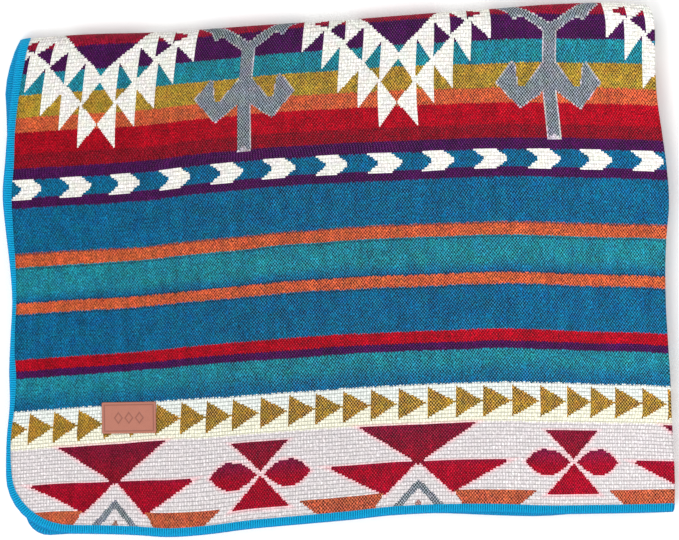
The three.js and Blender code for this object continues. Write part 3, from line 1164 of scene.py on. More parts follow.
    def _nearest(self, tree: Tree, *distances: Socket) -> Socket:
        """The least of some distances.

        Args:
            tree: the material's node tree.
            distances: the distances.

        Returns:
            The least at each place.
        """
        least = distances[0]
        for distance in distances[1:]:
            least = add_node(tree, MATH, {0: least, 1: distance}, operation="MINIMUM")
        return least

    def _blush(self, tree: Tree, distance: Socket, colour: Socket) -> Socket:
        """Lets red fibre brushed out of the figures tint the white round them.

        Args:
            tree: the material's node tree.
            distance: how far outside the red figures each place lies.
            colour: colour of the yarns.

        Returns:
            The tinted colour.
        """
        tint = add_node(
            tree,
            MAP_RANGE,
            {"Value": distance, "From Min": 0.0, "From Max": self.blush_reach, "To Min": 0.5, "To Max": 0.0},
        )
        return self._mix(tree, tint, colour, linear(self.blush))

    def _deepen(self, tree: Tree, depth: Socket, reds: Socket, dark_red: Socket) -> Socket:
        """How much plum yarn is woven into the reds, most at the top of each figure.

        Args:
            tree: the material's node tree.
            depth: depth below the chevron band in chart steps.
            reds: 1 in the scarlet figures.
            dark_red: 1 in the dark red ones.

        Returns:
            The share of plum.
        """
        shares = []
        for figures, (start, end, first, last) in ((reds, self.wing_plum), (dark_red, self.top_plum)):
            falling = add_node(
                tree,
                MAP_RANGE,
                {"Value": depth, "From Min": start, "From Max": end, "To Min": first, "To Max": last},
            )
            shares.append(add_node(tree, MATH, {0: figures, 1: falling}, operation="MULTIPLY"))
        return add_node(tree, MATH, {0: shares[0], 1: shares[1]}, operation="ADD", use_clamp=True)

    def _chevrons(self, tree: Tree, across: Socket, depth: Socket) -> Socket:
        """Row of arrowheads on the narrow band, pointing right with a blunt tip.

        Args:
            tree: the material's node tree.
            across: place across the cloth.
            depth: depth below the chevron band in chart steps.

        Returns:
            1 in the arrowheads, else 0.
        """
        local = self._row_of(tree, across, self.chevron_start, self.chevron_pitch)
        middle = add_node(tree, MATH, {0: depth, 1: self.chevron_half}, operation="SUBTRACT")
        away = add_node(tree, MATH, {0: middle}, operation="ABSOLUTE")
        blunt = add_node(tree, MATH, {0: away, 1: self.chevron_blunt}, operation="MAXIMUM")
        slope = self.chevron_slant / self.chevron_half
        slant = add_node(
            tree, MATH, {0: blunt, 1: slope, 2: -self.chevron_slant}, operation="MULTIPLY_ADD"
        )
        reach = add_node(tree, MATH, {0: local, 1: slant}, operation="ADD")
        along = self._between(tree, reach, 0.0, self.chevron_length)
        tall = self._within(tree, away, self.chevron_half)
        return add_node(tree, MATH, {0: along, 1: tall}, operation="MULTIPLY")

    def _triangles(self, tree: Tree, across: Socket, depth: Socket) -> Socket:
        """Row of gold triangles on the cream band, each pointing right.

        Args:
            tree: the material's node tree.
            across: place across the cloth.
            depth: depth below the chevron band in chart steps.

        Returns:
            1 in the triangles, else 0.
        """
        local = self._row_of(tree, across, self.triangle_start, self.triangle_pitch)
        middle = add_node(tree, MATH, {0: depth, 1: self.triangle_depth}, operation="SUBTRACT")
        away = add_node(tree, MATH, {0: middle}, operation="ABSOLUTE")
        slope = -self.triangle_half / self.triangle_length
        half = add_node(
            tree, MATH, {0: local, 1: slope, 2: self.triangle_half}, operation="MULTIPLY_ADD"
        )
        return add_node(tree, MATH, {0: away, 1: half}, operation="LESS_THAN")

    def _threads(
        self,
        tree: Tree,
        place: Socket,
        colour: Socket,
        weave: Socket,
    ) -> tuple[Socket, Socket]:
        """Breaks the colours up by threads and brushed fibres.

        Args:
            tree: the material's node tree.
            place: place on the flat cloth in millimetres.
            colour: colour of the yarns.
            weave: strengths of the specks, the grid lines and the dots.

        Returns:
            The colour that shows, and the height of the surface from 0 to 1.
        """
        turns = (math.pi / self.thread_across, math.pi / self.thread_along, 0.0)
        phase = add_node(tree, VECTOR_MATH, {0: place, 1: turns}, operation="MULTIPLY")
        wave = add_node(tree, VECTOR_MATH, {0: phase}, operation="COSINE")
        over = add_node(tree, "ShaderNodeSeparateXYZ", {0: wave})
        under = over.node.outputs["Y"]
        checker = add_node(tree, MATH, {0: over, 1: under}, operation="MULTIPLY")
        uneven = self._unevenness(tree, place)
        spans = ((checker, self.speck_span), (under, self.row_span), (over, self.column_span))
        speck, rows, columns = (
            add_node(
                tree,
                MAP_RANGE,
                {"Value": wave_height, "From Min": low, "From Max": high, "To Max": full},
                interpolation_type="SMOOTHSTEP",
            )
            for wave_height, (low, high, full) in spans
        )
        lines = add_node(tree, MATH, {0: rows, 1: columns}, operation="MAXIMUM")
        strength = add_node(tree, "ShaderNodeSeparateColor", {0: weave})
        grid_strength = strength.node.outputs["Green"]
        # The nap is closer towards the left, where it hides more of the weave
        across = add_node(tree, "ShaderNodeSeparateXYZ", {0: place})
        open_weave = add_node(
            tree,
            MAP_RANGE,
            {
                "Value": across, "From Min": self.nap_span[0], "From Max": self.nap_span[1],
                "To Min": self.nap_share,
            },
        )
        specks = add_node(tree, MATH, {0: speck, 1: strength}, operation="MULTIPLY")
        specks = add_node(tree, MATH, {0: specks, 1: open_weave}, operation="MULTIPLY")
        grid = add_node(tree, MATH, {0: lines, 1: grid_strength}, operation="MULTIPLY")
        specks = add_node(tree, MATH, {0: specks, 1: uneven}, operation="MULTIPLY")
        share = self.grid_steadiness
        steady = add_node(tree, MATH, {0: uneven, 1: 1 - share, 2: share}, operation="MULTIPLY_ADD")
        grid = add_node(tree, MATH, {0: grid, 1: steady}, operation="MULTIPLY")
        dark = add_node(tree, MATH, {0: specks, 1: grid}, operation="ADD", use_clamp=True)
        fibre = add_node(
            tree, NOISE, {"Vector": place, "Scale": self.fibre_rate, "Detail": 3.0, "Roughness": 0.7}
        )
        cloud = add_node(tree, NOISE, {"Vector": place, "Scale": self.cloud_rate, "Detail": 3.0})
        quiet, loud = self.noise_span
        lit, clouded = (
            add_node(
                tree,
                MAP_RANGE,
                {"Value": noise, "From Min": quiet, "From Max": loud, "To Min": low, "To Max": high},
            )
            for noise, (low, high) in ((fibre, self.fibre_gain), (cloud, self.cloud_gain))
        )
        level = add_node(tree, MATH, {0: lit, 1: clouded}, operation="MULTIPLY")
        # Streaks along the warp and painted light towards the right
        level = add_node(tree, MATH, {0: level, 1: self._streaks_and_painted_light(tree, place)}, operation="MULTIPLY")
        # White yarn shows its fibres least
        calm = add_node(
            tree, MATH, {0: grid_strength, 1: self.calm_gain}, operation="MULTIPLY", use_clamp=True
        )
        # Painted light: white yarn is painted lighter towards the right in place of its fibre levels
        white_painted_light = add_node(
            tree,
            MAP_RANGE,
            {
                "Value": across, "From Min": self.white_painted_light_span[0], "From Max": self.white_painted_light_span[1],
                "To Min": 1.0, "To Max": self.white_painted_light_gain,
            },
        )
        level = add_node(tree, MIX, {0: calm, 2: level, 3: white_painted_light})
        mottled = self._mix(tree, calm, self._mottled(tree, place, colour), colour)
        bright = add_node(tree, VECTOR_MATH, {0: mottled, "Scale": level}, operation="SCALE")
        fluffy = add_node(tree, VECTOR_MATH, {0: bright, "Scale": self.fuzz_gain}, operation="SCALE")
        brushed = self._mix(tree, self._fuzz(tree, place), bright, fluffy)
        low, high = self.dot_span
        dots = add_node(tree, MAP_RANGE, {"Value": checker, "From Min": low, "From Max": high})
        dots = add_node(tree, MATH, {0: dots, 1: strength.node.outputs["Blue"]}, operation="MULTIPLY")
        dots = add_node(tree, MATH, {0: dots, 1: open_weave}, operation="MULTIPLY")
        dots = add_node(tree, MATH, {0: dots, 1: uneven}, operation="MULTIPLY", use_clamp=True)
        dotted = self._mix(tree, dots, brushed, linear(self.dot))
        shown = self._mix(tree, dark, dotted, linear(self.speck))
        rounded = add_node(tree, MATH, {0: checker, 1: -0.5, 2: 0.5}, operation="MULTIPLY_ADD")
        relief = add_node(tree, MATH, {0: fibre, 1: 0.8, 2: rounded}, operation="MULTIPLY_ADD")
        return shown, relief

    def _mottled(self, tree: Tree, place: Socket, colour: Socket) -> Socket:
        """The yarns' colour, a little redder, greener or bluer in patches.

        Args:
            tree: the material's node tree.
            place: place on the flat cloth in millimetres.
            colour: colour of the yarns.

        Returns:
            The colour in patches.
        """
        patches = add_node(
            tree, NOISE, {"Vector": place, "Scale": self.patch_rate, "Detail": 3.0}, "Color"
        )
        gain = add_node(
            tree,
            VECTOR_MATH,
            {0: patches, 1: (self.patch_swing,) * 3, 2: (self.patch_least,) * 3},
            operation="MULTIPLY_ADD",
        )
        return add_node(tree, VECTOR_MATH, {0: colour, 1: gain}, operation="MULTIPLY")

    def _streaks_and_painted_light(self, tree: Tree, place: Socket) -> Socket:
        """How light the cloth is: streaks along the warp, times painted light that grows towards the right.

        Args:
            tree: the material's node tree.
            place: place on the flat cloth in millimetres.

        Returns:
            A factor for the colour.
        """
        stretched = add_node(tree, VECTOR_MATH, {0: place, 1: self.streak_rate}, operation="MULTIPLY")
        streak = add_node(tree, NOISE, {"Vector": stretched, "Scale": 1.0, "Detail": 2.0})
        streaks = add_node(
            tree,
            MAP_RANGE,
            {
                "Value": streak, "From Min": self.noise_span[0], "From Max": self.noise_span[1],
                "To Min": self.streak_gain[0], "To Max": self.streak_gain[1],
            },
        )
        across = add_node(tree, "ShaderNodeSeparateXYZ", {0: place})
        # Painted light: the colour is painted lighter towards the right
        pale = add_node(
            tree,
            MAP_RANGE,
            {
                "Value": across, "From Min": self.painted_light_span[0], "From Max": self.painted_light_span[1],
                "To Min": self.painted_light_gain[0], "To Max": self.painted_light_gain[1],
            },
        )
        return add_node(tree, MATH, {0: streaks, 1: pale}, operation="MULTIPLY")

    def _fuzz(self, tree: Tree, place: Socket) -> Socket:
        """How much brushed-up fibre lies over the threads, in short upright tufts.

        Args:
            tree: the material's node tree.
            place: place on the flat cloth in millimetres.

        Returns:
            The share of fibre.
        """
        combed = add_node(tree, VECTOR_MATH, {0: place, 1: self.tuft_rate}, operation="MULTIPLY")
        tufts = add_node(tree, NOISE, {"Vector": combed, "Scale": 1.0, "Detail": 2.0, "Roughness": 0.6})
        low, high = self.tuft_span
        return add_node(tree, MAP_RANGE, {"Value": tufts, "From Min": low, "From Max": high})

    def _unevenness(self, tree: Tree, place: Socket) -> Socket:
        """How much darker or lighter than usual each single thread crossing is."""
        low, high = self.crossing_gain
        return add_node(tree, MAP_RANGE, {"Value": self._luck(tree, place), "To Min": low, "To Max": high})


@dataclass(frozen=True)
class OverlockYarn:
    """Twisted acrylic yarn in bright blue with a slight gloss, its twist painted in a lit and a shaded blue;
    a darker copy paints the shade down between its stitches.
    """

    name: str = "overlock_yarn_blue"
    # Lit blue, and the painted shade blue in the grooves of the twist
    colour: str = "#009CCB"
    shade: str = "#0086B2"
    roughness: float = 0.62
    # Twist of the yarn, drawn as fine lines a little coarser than life so that they show
    twist_length: float = 1.2

    def build(self) -> Material:
        """Makes the material.

        Returns:
            The yarn's material.
        """
        material, tree = new_material(self.name)
        where = add_node(tree, "ShaderNodeTexCoord", output="Object")
        grain = add_node(
            tree,
            NOISE,
            {"Vector": where, "Scale": 1 / (self.twist_length * MM), "Detail": 2.0},
        )
        amount = add_node(tree, MAP_RANGE, {"Value": grain, "From Min": 0.35, "From Max": 0.65})
        # Painted highlight and shade along the twist: lit blue on the ridges, shaded blue in the grooves
        colour = add_node(
            tree,
            MIX,
            {0: amount, 6: linear(self.shade), 7: linear(self.colour)},
            2,
            data_type="RGBA",
        )
        bump = add_node(
            tree, "ShaderNodeBump", {"Strength": 0.5, "Distance": 0.2 * MM, "Height": grain}
        )
        finish_surface(
            tree,
            {
                "Base Color": colour,
                "Roughness": self.roughness,
                "IOR": 1.5,
                "Specular IOR Level": 0.12,
                "Normal": bump,
            },
        )
        return material


@dataclass(frozen=True)
class PatchLeather:
    """Vegetable-tanned leather in light tan: matt, with a fine grain and darker cut edges."""

    name: str = "patch_leather"
    colour: str = "#9C5D4A"
    shade: str = "#8C5140"
    dark_marks: str = "#5F2B20"
    roughness: float = 0.55
    grain_size: float = 1.1
    cloud_size: float = 6.25
    mark_strength: float = 0.7

    def build(self) -> Material:
        """Makes the material.

        Returns:
            The leather's material.
        """
        material, tree = new_material(self.name)
        where = add_node(tree, "ShaderNodeTexCoord", output="Object")
        grain = add_node(
            tree,
            "ShaderNodeTexVoronoi",
            {"Vector": where, "Scale": 1 / (self.grain_size * MM)},
        )
        cloud = add_node(
            tree, NOISE, {"Vector": where, "Scale": 1 / (self.cloud_size * MM), "Detail": 3.0}
        )
        amount = add_node(
            tree,
            MAP_RANGE,
            {"Value": cloud, "From Min": 0.3, "From Max": 0.7, "To Min": 0.0, "To Max": 0.3},
        )
        colour = add_node(
            tree,
            MIX,
            {0: amount, 6: linear(self.colour), 7: linear(self.shade)},
            2,
            data_type="RGBA",
        )
        # Darker where the tag marks it: in the pressed lines, round the rounded rim and underneath
        darkened = add_node(tree, "ShaderNodeAttribute", output="Fac", attribute_name=DARK_MARKS)
        depth = add_node(tree, MATH, {0: darkened, 1: self.mark_strength}, operation="MULTIPLY")
        colour = add_node(tree, MIX, {0: depth, 6: colour, 7: linear(self.dark_marks)}, 2, data_type="RGBA")
        bump = add_node(
            tree, "ShaderNodeBump", {"Strength": 0.25, "Distance": 0.1 * MM, "Height": grain}
        )
        finish_surface(
            tree,
            {"Base Color": colour, "Roughness": self.roughness, "IOR": 1.5, "Normal": bump},
        )
        return material


@dataclass(frozen=True)
class PaleFloor:
    """Matt white paper floor."""

    name: str = "pale_floor"
    colour: str = "#F4F4F4"

    def build(self) -> Material:
        """Makes the material.

        Returns:
            The floor's material.
        """
        material, tree = new_material(self.name)
        finish_surface(tree, {"Base Color": linear(self.colour), "Roughness": 0.9})
        return material


@dataclass(frozen=True)
class Sewing:
    """Where the folded stack stands in the row frame."""

    stack: FoldedStack
    shift_x: float
    shift_y: float

    def points(self, s: np.ndarray, q: np.ndarray, depth: np.ndarray | float) -> np.ndarray:
        """Places in metres in the row frame of points of the cloth, none under the floor.

        Args:
            s: distances across from the side fold.
            q: distances along from the top hem.
            depth: distances from the middle of the thickness.

        Returns:
            The places.
        """
        at = self.stack.folded(s, q, depth) + np.array([self.shift_x, self.shift_y, 0.0])
        at[..., 2] = np.maximum(at[..., 2], 0.0)
        return at * MM


@dataclass(frozen=True)
class BlanketCloth:
    """The cloth itself: an outer and an inner skin, joined round the cut edge."""

    sewing: Sewing
    # Place of the pattern on the cloth
    pattern_across: float = 349.64
    pattern_along: float = 5.6
    # Where along the cloth each row of figures gives way to the next
    drift_rows: tuple[tuple[float, float], ...] = ((75.0, 100.0), (140.0, 350.0), (372.0, 384.0))
    # Past the back fold the drift dies out between these places along the cloth
    drift_end: tuple[float, float] = (540.0, 620.0)

    def grid(self) -> tuple[np.ndarray, np.ndarray]:
        """Places across and along the cloth where its faces meet.

        Returns:
            The two, as rows of the same shape.
        """
        rows = self.sewing.stack.row_places()
        across = self.sewing.stack.column_places(rows)
        return across, np.repeat(rows[:, None], across.shape[1], 1)

    def drift(self, s: np.ndarray, q: np.ndarray) -> np.ndarray:
        """How far the weave has drifted to the right at places on the upper leaf.

        Args:
            s: distances across from the side fold.
            q: distances along from the top hem.

        Returns:
            The drift in millimetres.
        """
        across = s + self.pattern_across
        tables = (HEM_DRIFT, TRIANGLE_DRIFT, ARROW_DRIFT, FEATHER_DRIFT)
        rows = [curve_through(table, 1, across) for table in tables]
        total = rows[0]
        for place, following, before in zip(self.drift_rows, rows[1:], rows):
            total = total + smooth_step(q, place[0], place[1]) * (following - before)
        return total * smooth_step(-q, -self.drift_end[1], -self.drift_end[0])

    def height_drift(self, s: np.ndarray, q: np.ndarray) -> np.ndarray:
        """How far the weave has drifted towards the back at places on the upper leaf.

        Args:
            s: distances across from the side fold.
            q: distances along from the top hem.

        Returns:
            The drift in millimetres.
        """
        across = s + self.pattern_across
        height = q + self.pattern_along
        columns = [curve_through(HEIGHT_DRIFT, i + 1, height) for i in range(len(HEIGHT_STATIONS))]
        total = columns[0]
        for near, far, before, after in zip(HEIGHT_STATIONS, HEIGHT_STATIONS[1:], columns, columns[1:]):
            total = total + smooth_step(across, near, far) * (after - before)
        return total * smooth_step(-q, -self.drift_end[1], -self.drift_end[0])

    def outline(self) -> list[tuple[int, int]]:
        """Row and column numbers round the cut edge, in order.

        Returns:
            Pairs of numbers, none of them twice.
        """
        rows, columns = self.grid()[0].shape
        near = [(0, j) for j in range(columns)]
        right = [(i, columns - 1) for i in range(1, rows - 1)]
        far = [(rows - 1, j) for j in reversed(range(columns))]
        left = [(i, 0) for i in reversed(range(1, rows - 1))]
        return near + right + far + left

    def build(self, material: Material) -> Piece:
        """Makes the cloth.

        Args:
            material: the cloth's finish.

        Returns:
            The cloth piece, with its map in metres of flat cloth.
        """
        s, q = self.grid()
        half = self.sewing.stack.sheet / 2
        outer = self.sewing.points(s, q, half)
        inner = self.sewing.points(s, q, -half)
        points = np.concatenate([outer.reshape(-1, 3), inner.reshape(-1, 3)])
        rows, columns = s.shape
        number = np.arange(rows * columns).reshape(rows, columns)
        a, b, c, d = number[:-1, :-1], number[:-1, 1:], number[1:, 1:], number[1:, :-1]
        top = np.stack([a, b, c, d], -1).reshape(-1, 4)
        bottom = np.stack([a, d, c, b], -1).reshape(-1, 4) + rows * columns
        rim = np.array([number[i, j] for i, j in self.outline()])
        after = np.roll(rim, -1)
        low = rows * columns
        side = np.stack([rim + low, after + low, after, rim], -1)
        faces = np.concatenate([top, bottom, side])
        piece = make_piece("blanket_cloth_woven", points, faces, material)
        across = s + self.pattern_across - self.drift(s, q)
        along = q + self.pattern_along - self.height_drift(s, q)
        flat = np.stack([across, along], -1) * MM
        flat = np.concatenate([flat.reshape(-1, 2)] * 2)
        layer = piece.data.uv_layers.new(name=CLOTH_MAP)
        layer.data.foreach_set("uv", flat[faces.reshape(-1)].reshape(-1))
        return piece


@dataclass(frozen=True)
class EdgeBinding:
    """Overlocked edge: a padded band round the cut edge, with yarn looped over it."""

    cloth: BlanketCloth
    thickness: float = 3.3
    overlap: float = 0.8
    section_steps: int = 10
    stitch_pitch: float = 2.4
    yarn: float = 0.75
    # How much wider than thick the yarn lies
    yarn_spread: float = 2.9
    # Power that squares the band's round section up
    fullness: float = 0.6
    # Distances across between which the hem's width gives way to the left edge's
    left_span: tuple[float, float] = (640.0, 660.0)
    loop_resolution: int = 7
    yarn_sides: int = 4

    def reach(self, s: np.ndarray, q: np.ndarray) -> np.ndarray:
        """How far the binding stands out from the cut edge at places on it.

        Args:
            s: distances across from the side fold.
            q: distances along from the top hem.

        Returns:
            The reach in millimetres.
        """
        stack = self.cloth.sewing.stack
        at_left = smooth_step(-s, *self.left_span)
        width = stack.binding_width + at_left * (curve_through(LEFT_BINDING, 1, q) - stack.binding_width)
        return width + stack.clearance

    def ring(self) -> tuple[np.ndarray, np.ndarray, np.ndarray]:
        """Places round the cut edge and the flat direction that looks out of the cloth.

        Returns:
            Places across, places along, and the direction at each.
        """
        s, q = self.cloth.grid()
        outline = self.cloth.outline()
        edge = np.array([(s[i, j], q[i, j]) for i, j in outline])
        ahead = np.roll(edge, -1, 0) - np.roll(edge, 1, 0)
        outward = np.stack([ahead[:, 1], -ahead[:, 0]], -1)
        return edge[:, 0], edge[:, 1], outward / np.hypot(*outward.T)[:, None]

    def band(self, material: Material) -> Piece:
        """Makes the padded band under the yarn.

        Args:
            material: the band's finish, a darker blue that paints the shade between the stitches.

        Returns:
            The band.
        """
        s, q, outward = self.ring()
        turn = np.linspace(-math.pi / 2, math.pi / 2, self.section_steps)
        share = np.concatenate([[0], np.cos(turn) ** self.fullness, [0]])
        out = -self.overlap + share * (self.reach(s, q)[:, None] + self.overlap)
        half = self.thickness / 2 - self.yarn / 3
        depth = np.concatenate([[-half], half * np.sin(turn), [half]])
        points = self.cloth.sewing.points(
            s[:, None] + out * outward[:, :1], q[:, None] + out * outward[:, 1:], depth[None, :]
        )
        stations, corners = points.shape[:2]
        number = np.arange(stations * corners).reshape(stations, corners)
        ahead = np.roll(number, -1, 0)
        faces = np.stack(
            [number, ahead, np.roll(ahead, -1, 1), np.roll(number, -1, 1)], -1
        ).reshape(-1, 4)
        return make_piece("edge_binding_band", points.reshape(-1, 3), faces, material)

    def path(self) -> Piece:
        """Line that the yarn follows, with the ways out of and up from the cloth at each place.

        Returns:
            An object whose mesh is one closed line.
        """
        s, q, outward = self.ring()
        sewing = self.cloth.sewing
        here = sewing.points(s, q, 0.0)
        out = sewing.points(s + outward[:, 0], q + outward[:, 1], 0.0) - here
        up = sewing.stack.folded(s, q, 1.0) - sewing.stack.folded(s, q, -1.0)
        mesh = bpy.data.meshes.new("overlock_path")
        count = len(s)
        mesh.from_pydata(here.tolist(), [(i, (i + 1) % count) for i in range(count)], [])
        for name, ways in (("way_out", out), ("way_up", up)):
            unit = ways / np.linalg.norm(ways, axis=1)[:, None]
            attribute = mesh.attributes.new(name, "FLOAT_VECTOR", "POINT")
            attribute.data.foreach_set("vector", unit.reshape(-1).astype(np.float32))
        spread = self.reach(s, q) / (sewing.stack.binding_width + sewing.stack.clearance)
        attribute = mesh.attributes.new("spread", "FLOAT", "POINT")
        attribute.data.foreach_set("value", spread.astype(np.float32))
        path = bpy.data.objects.new("overlock_path", mesh)
        bpy.context.scene.collection.objects.link(path)
        return path

    def stitch_tree(self, material: Material) -> Tree:
        """Builds the tree that loops yarn over the edge at even distances.

        Args:
            material: the yarn's finish.

        Returns:
            The tree, with an input for each size.
        """
        tree = bpy.data.node_groups.new("overlock_stitches", "GeometryNodeTree")
        tree.interface.new_socket("Geometry", in_out="INPUT", socket_type="NodeSocketGeometry")
        for name in (
            "Stitch pitch", "Yarn radius", "Yarn spread", "Loop reach", "Loop height", "Loop start",
        ):
            tree.interface.new_socket(name, in_out="INPUT", socket_type="NodeSocketFloat")
        tree.interface.new_socket("Geometry", in_out="OUTPUT", socket_type="NodeSocketGeometry")
        given = add_node(tree, "NodeGroupInput").node.outputs
        line = add_node(tree, "GeometryNodeMeshToCurve", {0: given["Geometry"]})
        places = add_node(
            tree,
            "GeometryNodeResampleCurve",
            {"Curve": line, "Length": given["Stitch pitch"]},
            mode="LENGTH",
        )
        way_out, way_up = (
            add_node(
                tree, "GeometryNodeInputNamedAttribute", {"Name": name}, data_type="FLOAT_VECTOR"
            )
            for name in ("way_out", "way_up")
        )
        turn = add_node(
            tree,
            "FunctionNodeAxesToRotation",
            {"Primary Axis": way_out, "Secondary Axis": way_up},
            primary_axis="X",
            secondary_axis="Z",
        )
        spread = add_node(tree, "GeometryNodeInputNamedAttribute", {"Name": "spread"}, data_type="FLOAT")
        size = add_node(
            tree, "ShaderNodeCombineXYZ", {"X": spread, "Y": given["Yarn spread"], "Z": 1.0}
        )
        below = add_node(tree, MATH, {0: given["Loop height"], 1: -1.0}, operation="MULTIPLY")
        ends = [
            add_node(tree, "ShaderNodeCombineXYZ", {"X": x, "Z": z})
            for x, z in (
                (given["Loop start"], given["Loop height"]),
                (given["Loop reach"], given["Loop height"]),
                (given["Loop reach"], below),
                (given["Loop start"], below),
            )
        ]
        loop = add_node(
            tree,
            "GeometryNodeCurvePrimitiveBezierSegment",
            {
                "Resolution": self.loop_resolution,
                "Start": ends[0],
                "Start Handle": ends[1],
                "End Handle": ends[2],
                "End": ends[3],
            },
        )
        round_yarn = add_node(
            tree,
            "GeometryNodeCurvePrimitiveCircle",
            {"Resolution": self.yarn_sides, "Radius": given["Yarn radius"]},
        )
        yarn = add_node(
            tree, "GeometryNodeCurveToMesh", {"Curve": loop, "Profile Curve": round_yarn, "Fill Caps": True}
        )
        smooth = add_node(tree, "GeometryNodeSetShadeSmooth", {"Geometry": yarn})
        loops = add_node(
            tree,
            "GeometryNodeInstanceOnPoints",
            {"Points": places, "Instance": smooth, "Rotation": turn, "Scale": size},
        )
        real = add_node(tree, "GeometryNodeRealizeInstances", {0: loops})
        dressed = add_node(tree, "GeometryNodeSetMaterial", {"Geometry": real, "Material": material})
        add_node(tree, "NodeGroupOutput", {0: dressed})
        return tree

    def stitches(self, material: Material) -> Piece:
        """Makes the looped yarn as one plain mesh.

        Args:
            material: the yarn's finish.

        Returns:
            The stitches.
        """
        stack = self.cloth.sewing.stack
        path = self.path()
        tree = self.stitch_tree(material)
        modifier = path.modifiers.new("stitches", "NODES")
        modifier.node_group = tree
        reach = (stack.binding_width + stack.clearance - self.yarn / 2) * 4 / 3
        sizes = {
            "Stitch pitch": self.stitch_pitch * MM,
            "Yarn radius": self.yarn / 2 * MM,
            "Yarn spread": self.yarn_spread,
            "Loop reach": reach * MM,
            "Loop height": self.thickness / 2 * MM,
            "Loop start": -self.overlap * MM,
        }
        for item in tree.interface.items_tree:
            if item.name in sizes:
                modifier[item.identifier] = sizes[item.name]
        mesh = bpy.data.meshes.new_from_object(path.evaluated_get(bpy.context.evaluated_depsgraph_get()))
        mesh.name = "edge_binding_stitches"
        # Yarn under the stack is pressed flat on what it lies on
        for vertex in mesh.vertices:
            vertex.co.z = max(vertex.co.z, 0.0)
        piece = bpy.data.objects.new("edge_binding_stitches", mesh)
        bpy.context.scene.collection.objects.link(piece)
        bpy.data.objects.remove(path)
        return piece


@dataclass(frozen=True)
class LeatherTag:
    """Small rounded leather rectangle that lies on the cloth, with a pressed border line."""

    sewing: Sewing
    width: float = 57.0
    height: float = 33.0
    thickness: float = 1.7
    corner: float = 1.5
    bevel: float = 0.45
    x: float = -221.0
    y: float = -155.0
    turn: float = math.radians(0.9)
    lift: float = 0.15
    line_inset: float = 2.8
    line_width: float = 0.55
    line_depth: float = 0.35
    diamonds: tuple[float, ...] = (-11.0, 0.0, 11.0)
    diamond_width: float = 8.0
    diamond_height: float = 11.0
    rim_darkness: float = 0.6
    step: float = 0.5

    def edge_distance(self, u: np.ndarray, v: np.ndarray) -> np.ndarray:
        """How far each place is inside the rounded outline.

        Args:
            u: places across the patch from its middle.
            v: places up it.

        Returns:
            The distance, below 0 outside.
        """
        out = np.stack([np.abs(u) - self.width / 2 + self.corner, np.abs(v) - self.height / 2 + self.corner])
        outside = np.hypot(*np.maximum(out, 0))
        return self.corner - outside - np.minimum(out.max(0), 0)

    def pressed(self, u: np.ndarray, v: np.ndarray, inside: np.ndarray) -> np.ndarray:
        """How deep each place is pressed in: a border line and a row of plain diamonds.

        Args:
            u: places across the patch from its middle.
            v: places up it.
            inside: how far each place is inside the outline.

        Returns:
            The share of the full depth.
        """
        away = np.abs(inside - self.line_inset)
        width, height = self.diamond_width, self.diamond_height
        scale = width * height / 2 / math.hypot(width, height)
        for middle in self.diamonds:
            edge = 2 * np.abs(u - middle) / width + 2 * np.abs(v) / height - 1
            away = np.minimum(away, np.abs(edge) * scale)
        return np.exp(-((away / self.line_width) ** 2))

    def build(self, material: Material) -> Piece:
        """Makes the patch, following the height of the cloth under it.

        Args:
            material: the patch's finish.

        Returns:
            The patch.
        """
        columns = int(self.width / self.step)
        rows = int(self.height / self.step)
        u, v = np.meshgrid(
            np.linspace(-1, 1, columns + 1) * self.width / 2, np.linspace(-1, 1, rows + 1) * self.height / 2
        )
        over = np.maximum(np.abs(u) - self.width / 2 + self.corner, 0)
        up = np.maximum(np.abs(v) - self.height / 2 + self.corner, 0)
        far = np.hypot(over, up)
        pull = np.where(far > self.corner, self.corner / np.maximum(far, 1e-9), 1.0)
        u = np.sign(u) * (np.abs(u) - over + over * pull)
        v = np.sign(v) * (np.abs(v) - up + up * pull)
        inside = self.edge_distance(u, v)
        rounded = np.clip(self.bevel - inside, 0, self.bevel)
        drop = self.bevel - np.sqrt(np.maximum(self.bevel**2 - rounded**2, 0))
        pressed = self.pressed(u, v, inside)
        line = self.line_depth * pressed
        turned_x = self.x + u * math.cos(self.turn) - v * math.sin(self.turn)
        turned_y = self.y + u * math.sin(self.turn) + v * math.cos(self.turn)
        stack = self.sewing.stack
        cloth_top = stack.level_height(4) + stack.pair_half
        bed = cloth_top * (1 + stack.loft(turned_x, turned_y)) + self.lift
        top = np.stack([turned_x, turned_y, bed + self.thickness - drop - line], -1)
        low = np.stack([turned_x, turned_y, bed], -1)
        points = np.concatenate([top.reshape(-1, 3), low.reshape(-1, 3)])
        points = (points + np.array([self.sewing.shift_x, self.sewing.shift_y, 0.0])) * MM
        number = np.arange((rows + 1) * (columns + 1)).reshape(rows + 1, columns + 1)
        a, b, c, d = number[:-1, :-1], number[:-1, 1:], number[1:, 1:], number[1:, :-1]
        under = number.size
        rim = np.concatenate([number[0, :-1], number[:-1, -1], number[-1, :0:-1], number[:0:-1, 0]])
        after = np.roll(rim, -1)
        faces = np.concatenate(
            [
                np.stack([a, b, c, d], -1).reshape(-1, 4),
                np.stack([a, d, c, b], -1).reshape(-1, 4) + under,
                np.stack([rim + under, after + under, after, rim], -1),
            ]
        )
        piece = make_piece("leather_patch_tag", points, faces, material)
        # Darker along the rounded rim and in the pressed lines, and all over underneath
        rim_marks = self.rim_darkness * (inside < self.bevel)
        dark_marks = np.concatenate([np.maximum(pressed, rim_marks).ravel(), np.ones(under)])
        attribute = piece.data.attributes.new(DARK_MARKS, "FLOAT", "POINT")
        attribute.data.foreach_set("value", dark_marks.astype(np.float32))
        return piece


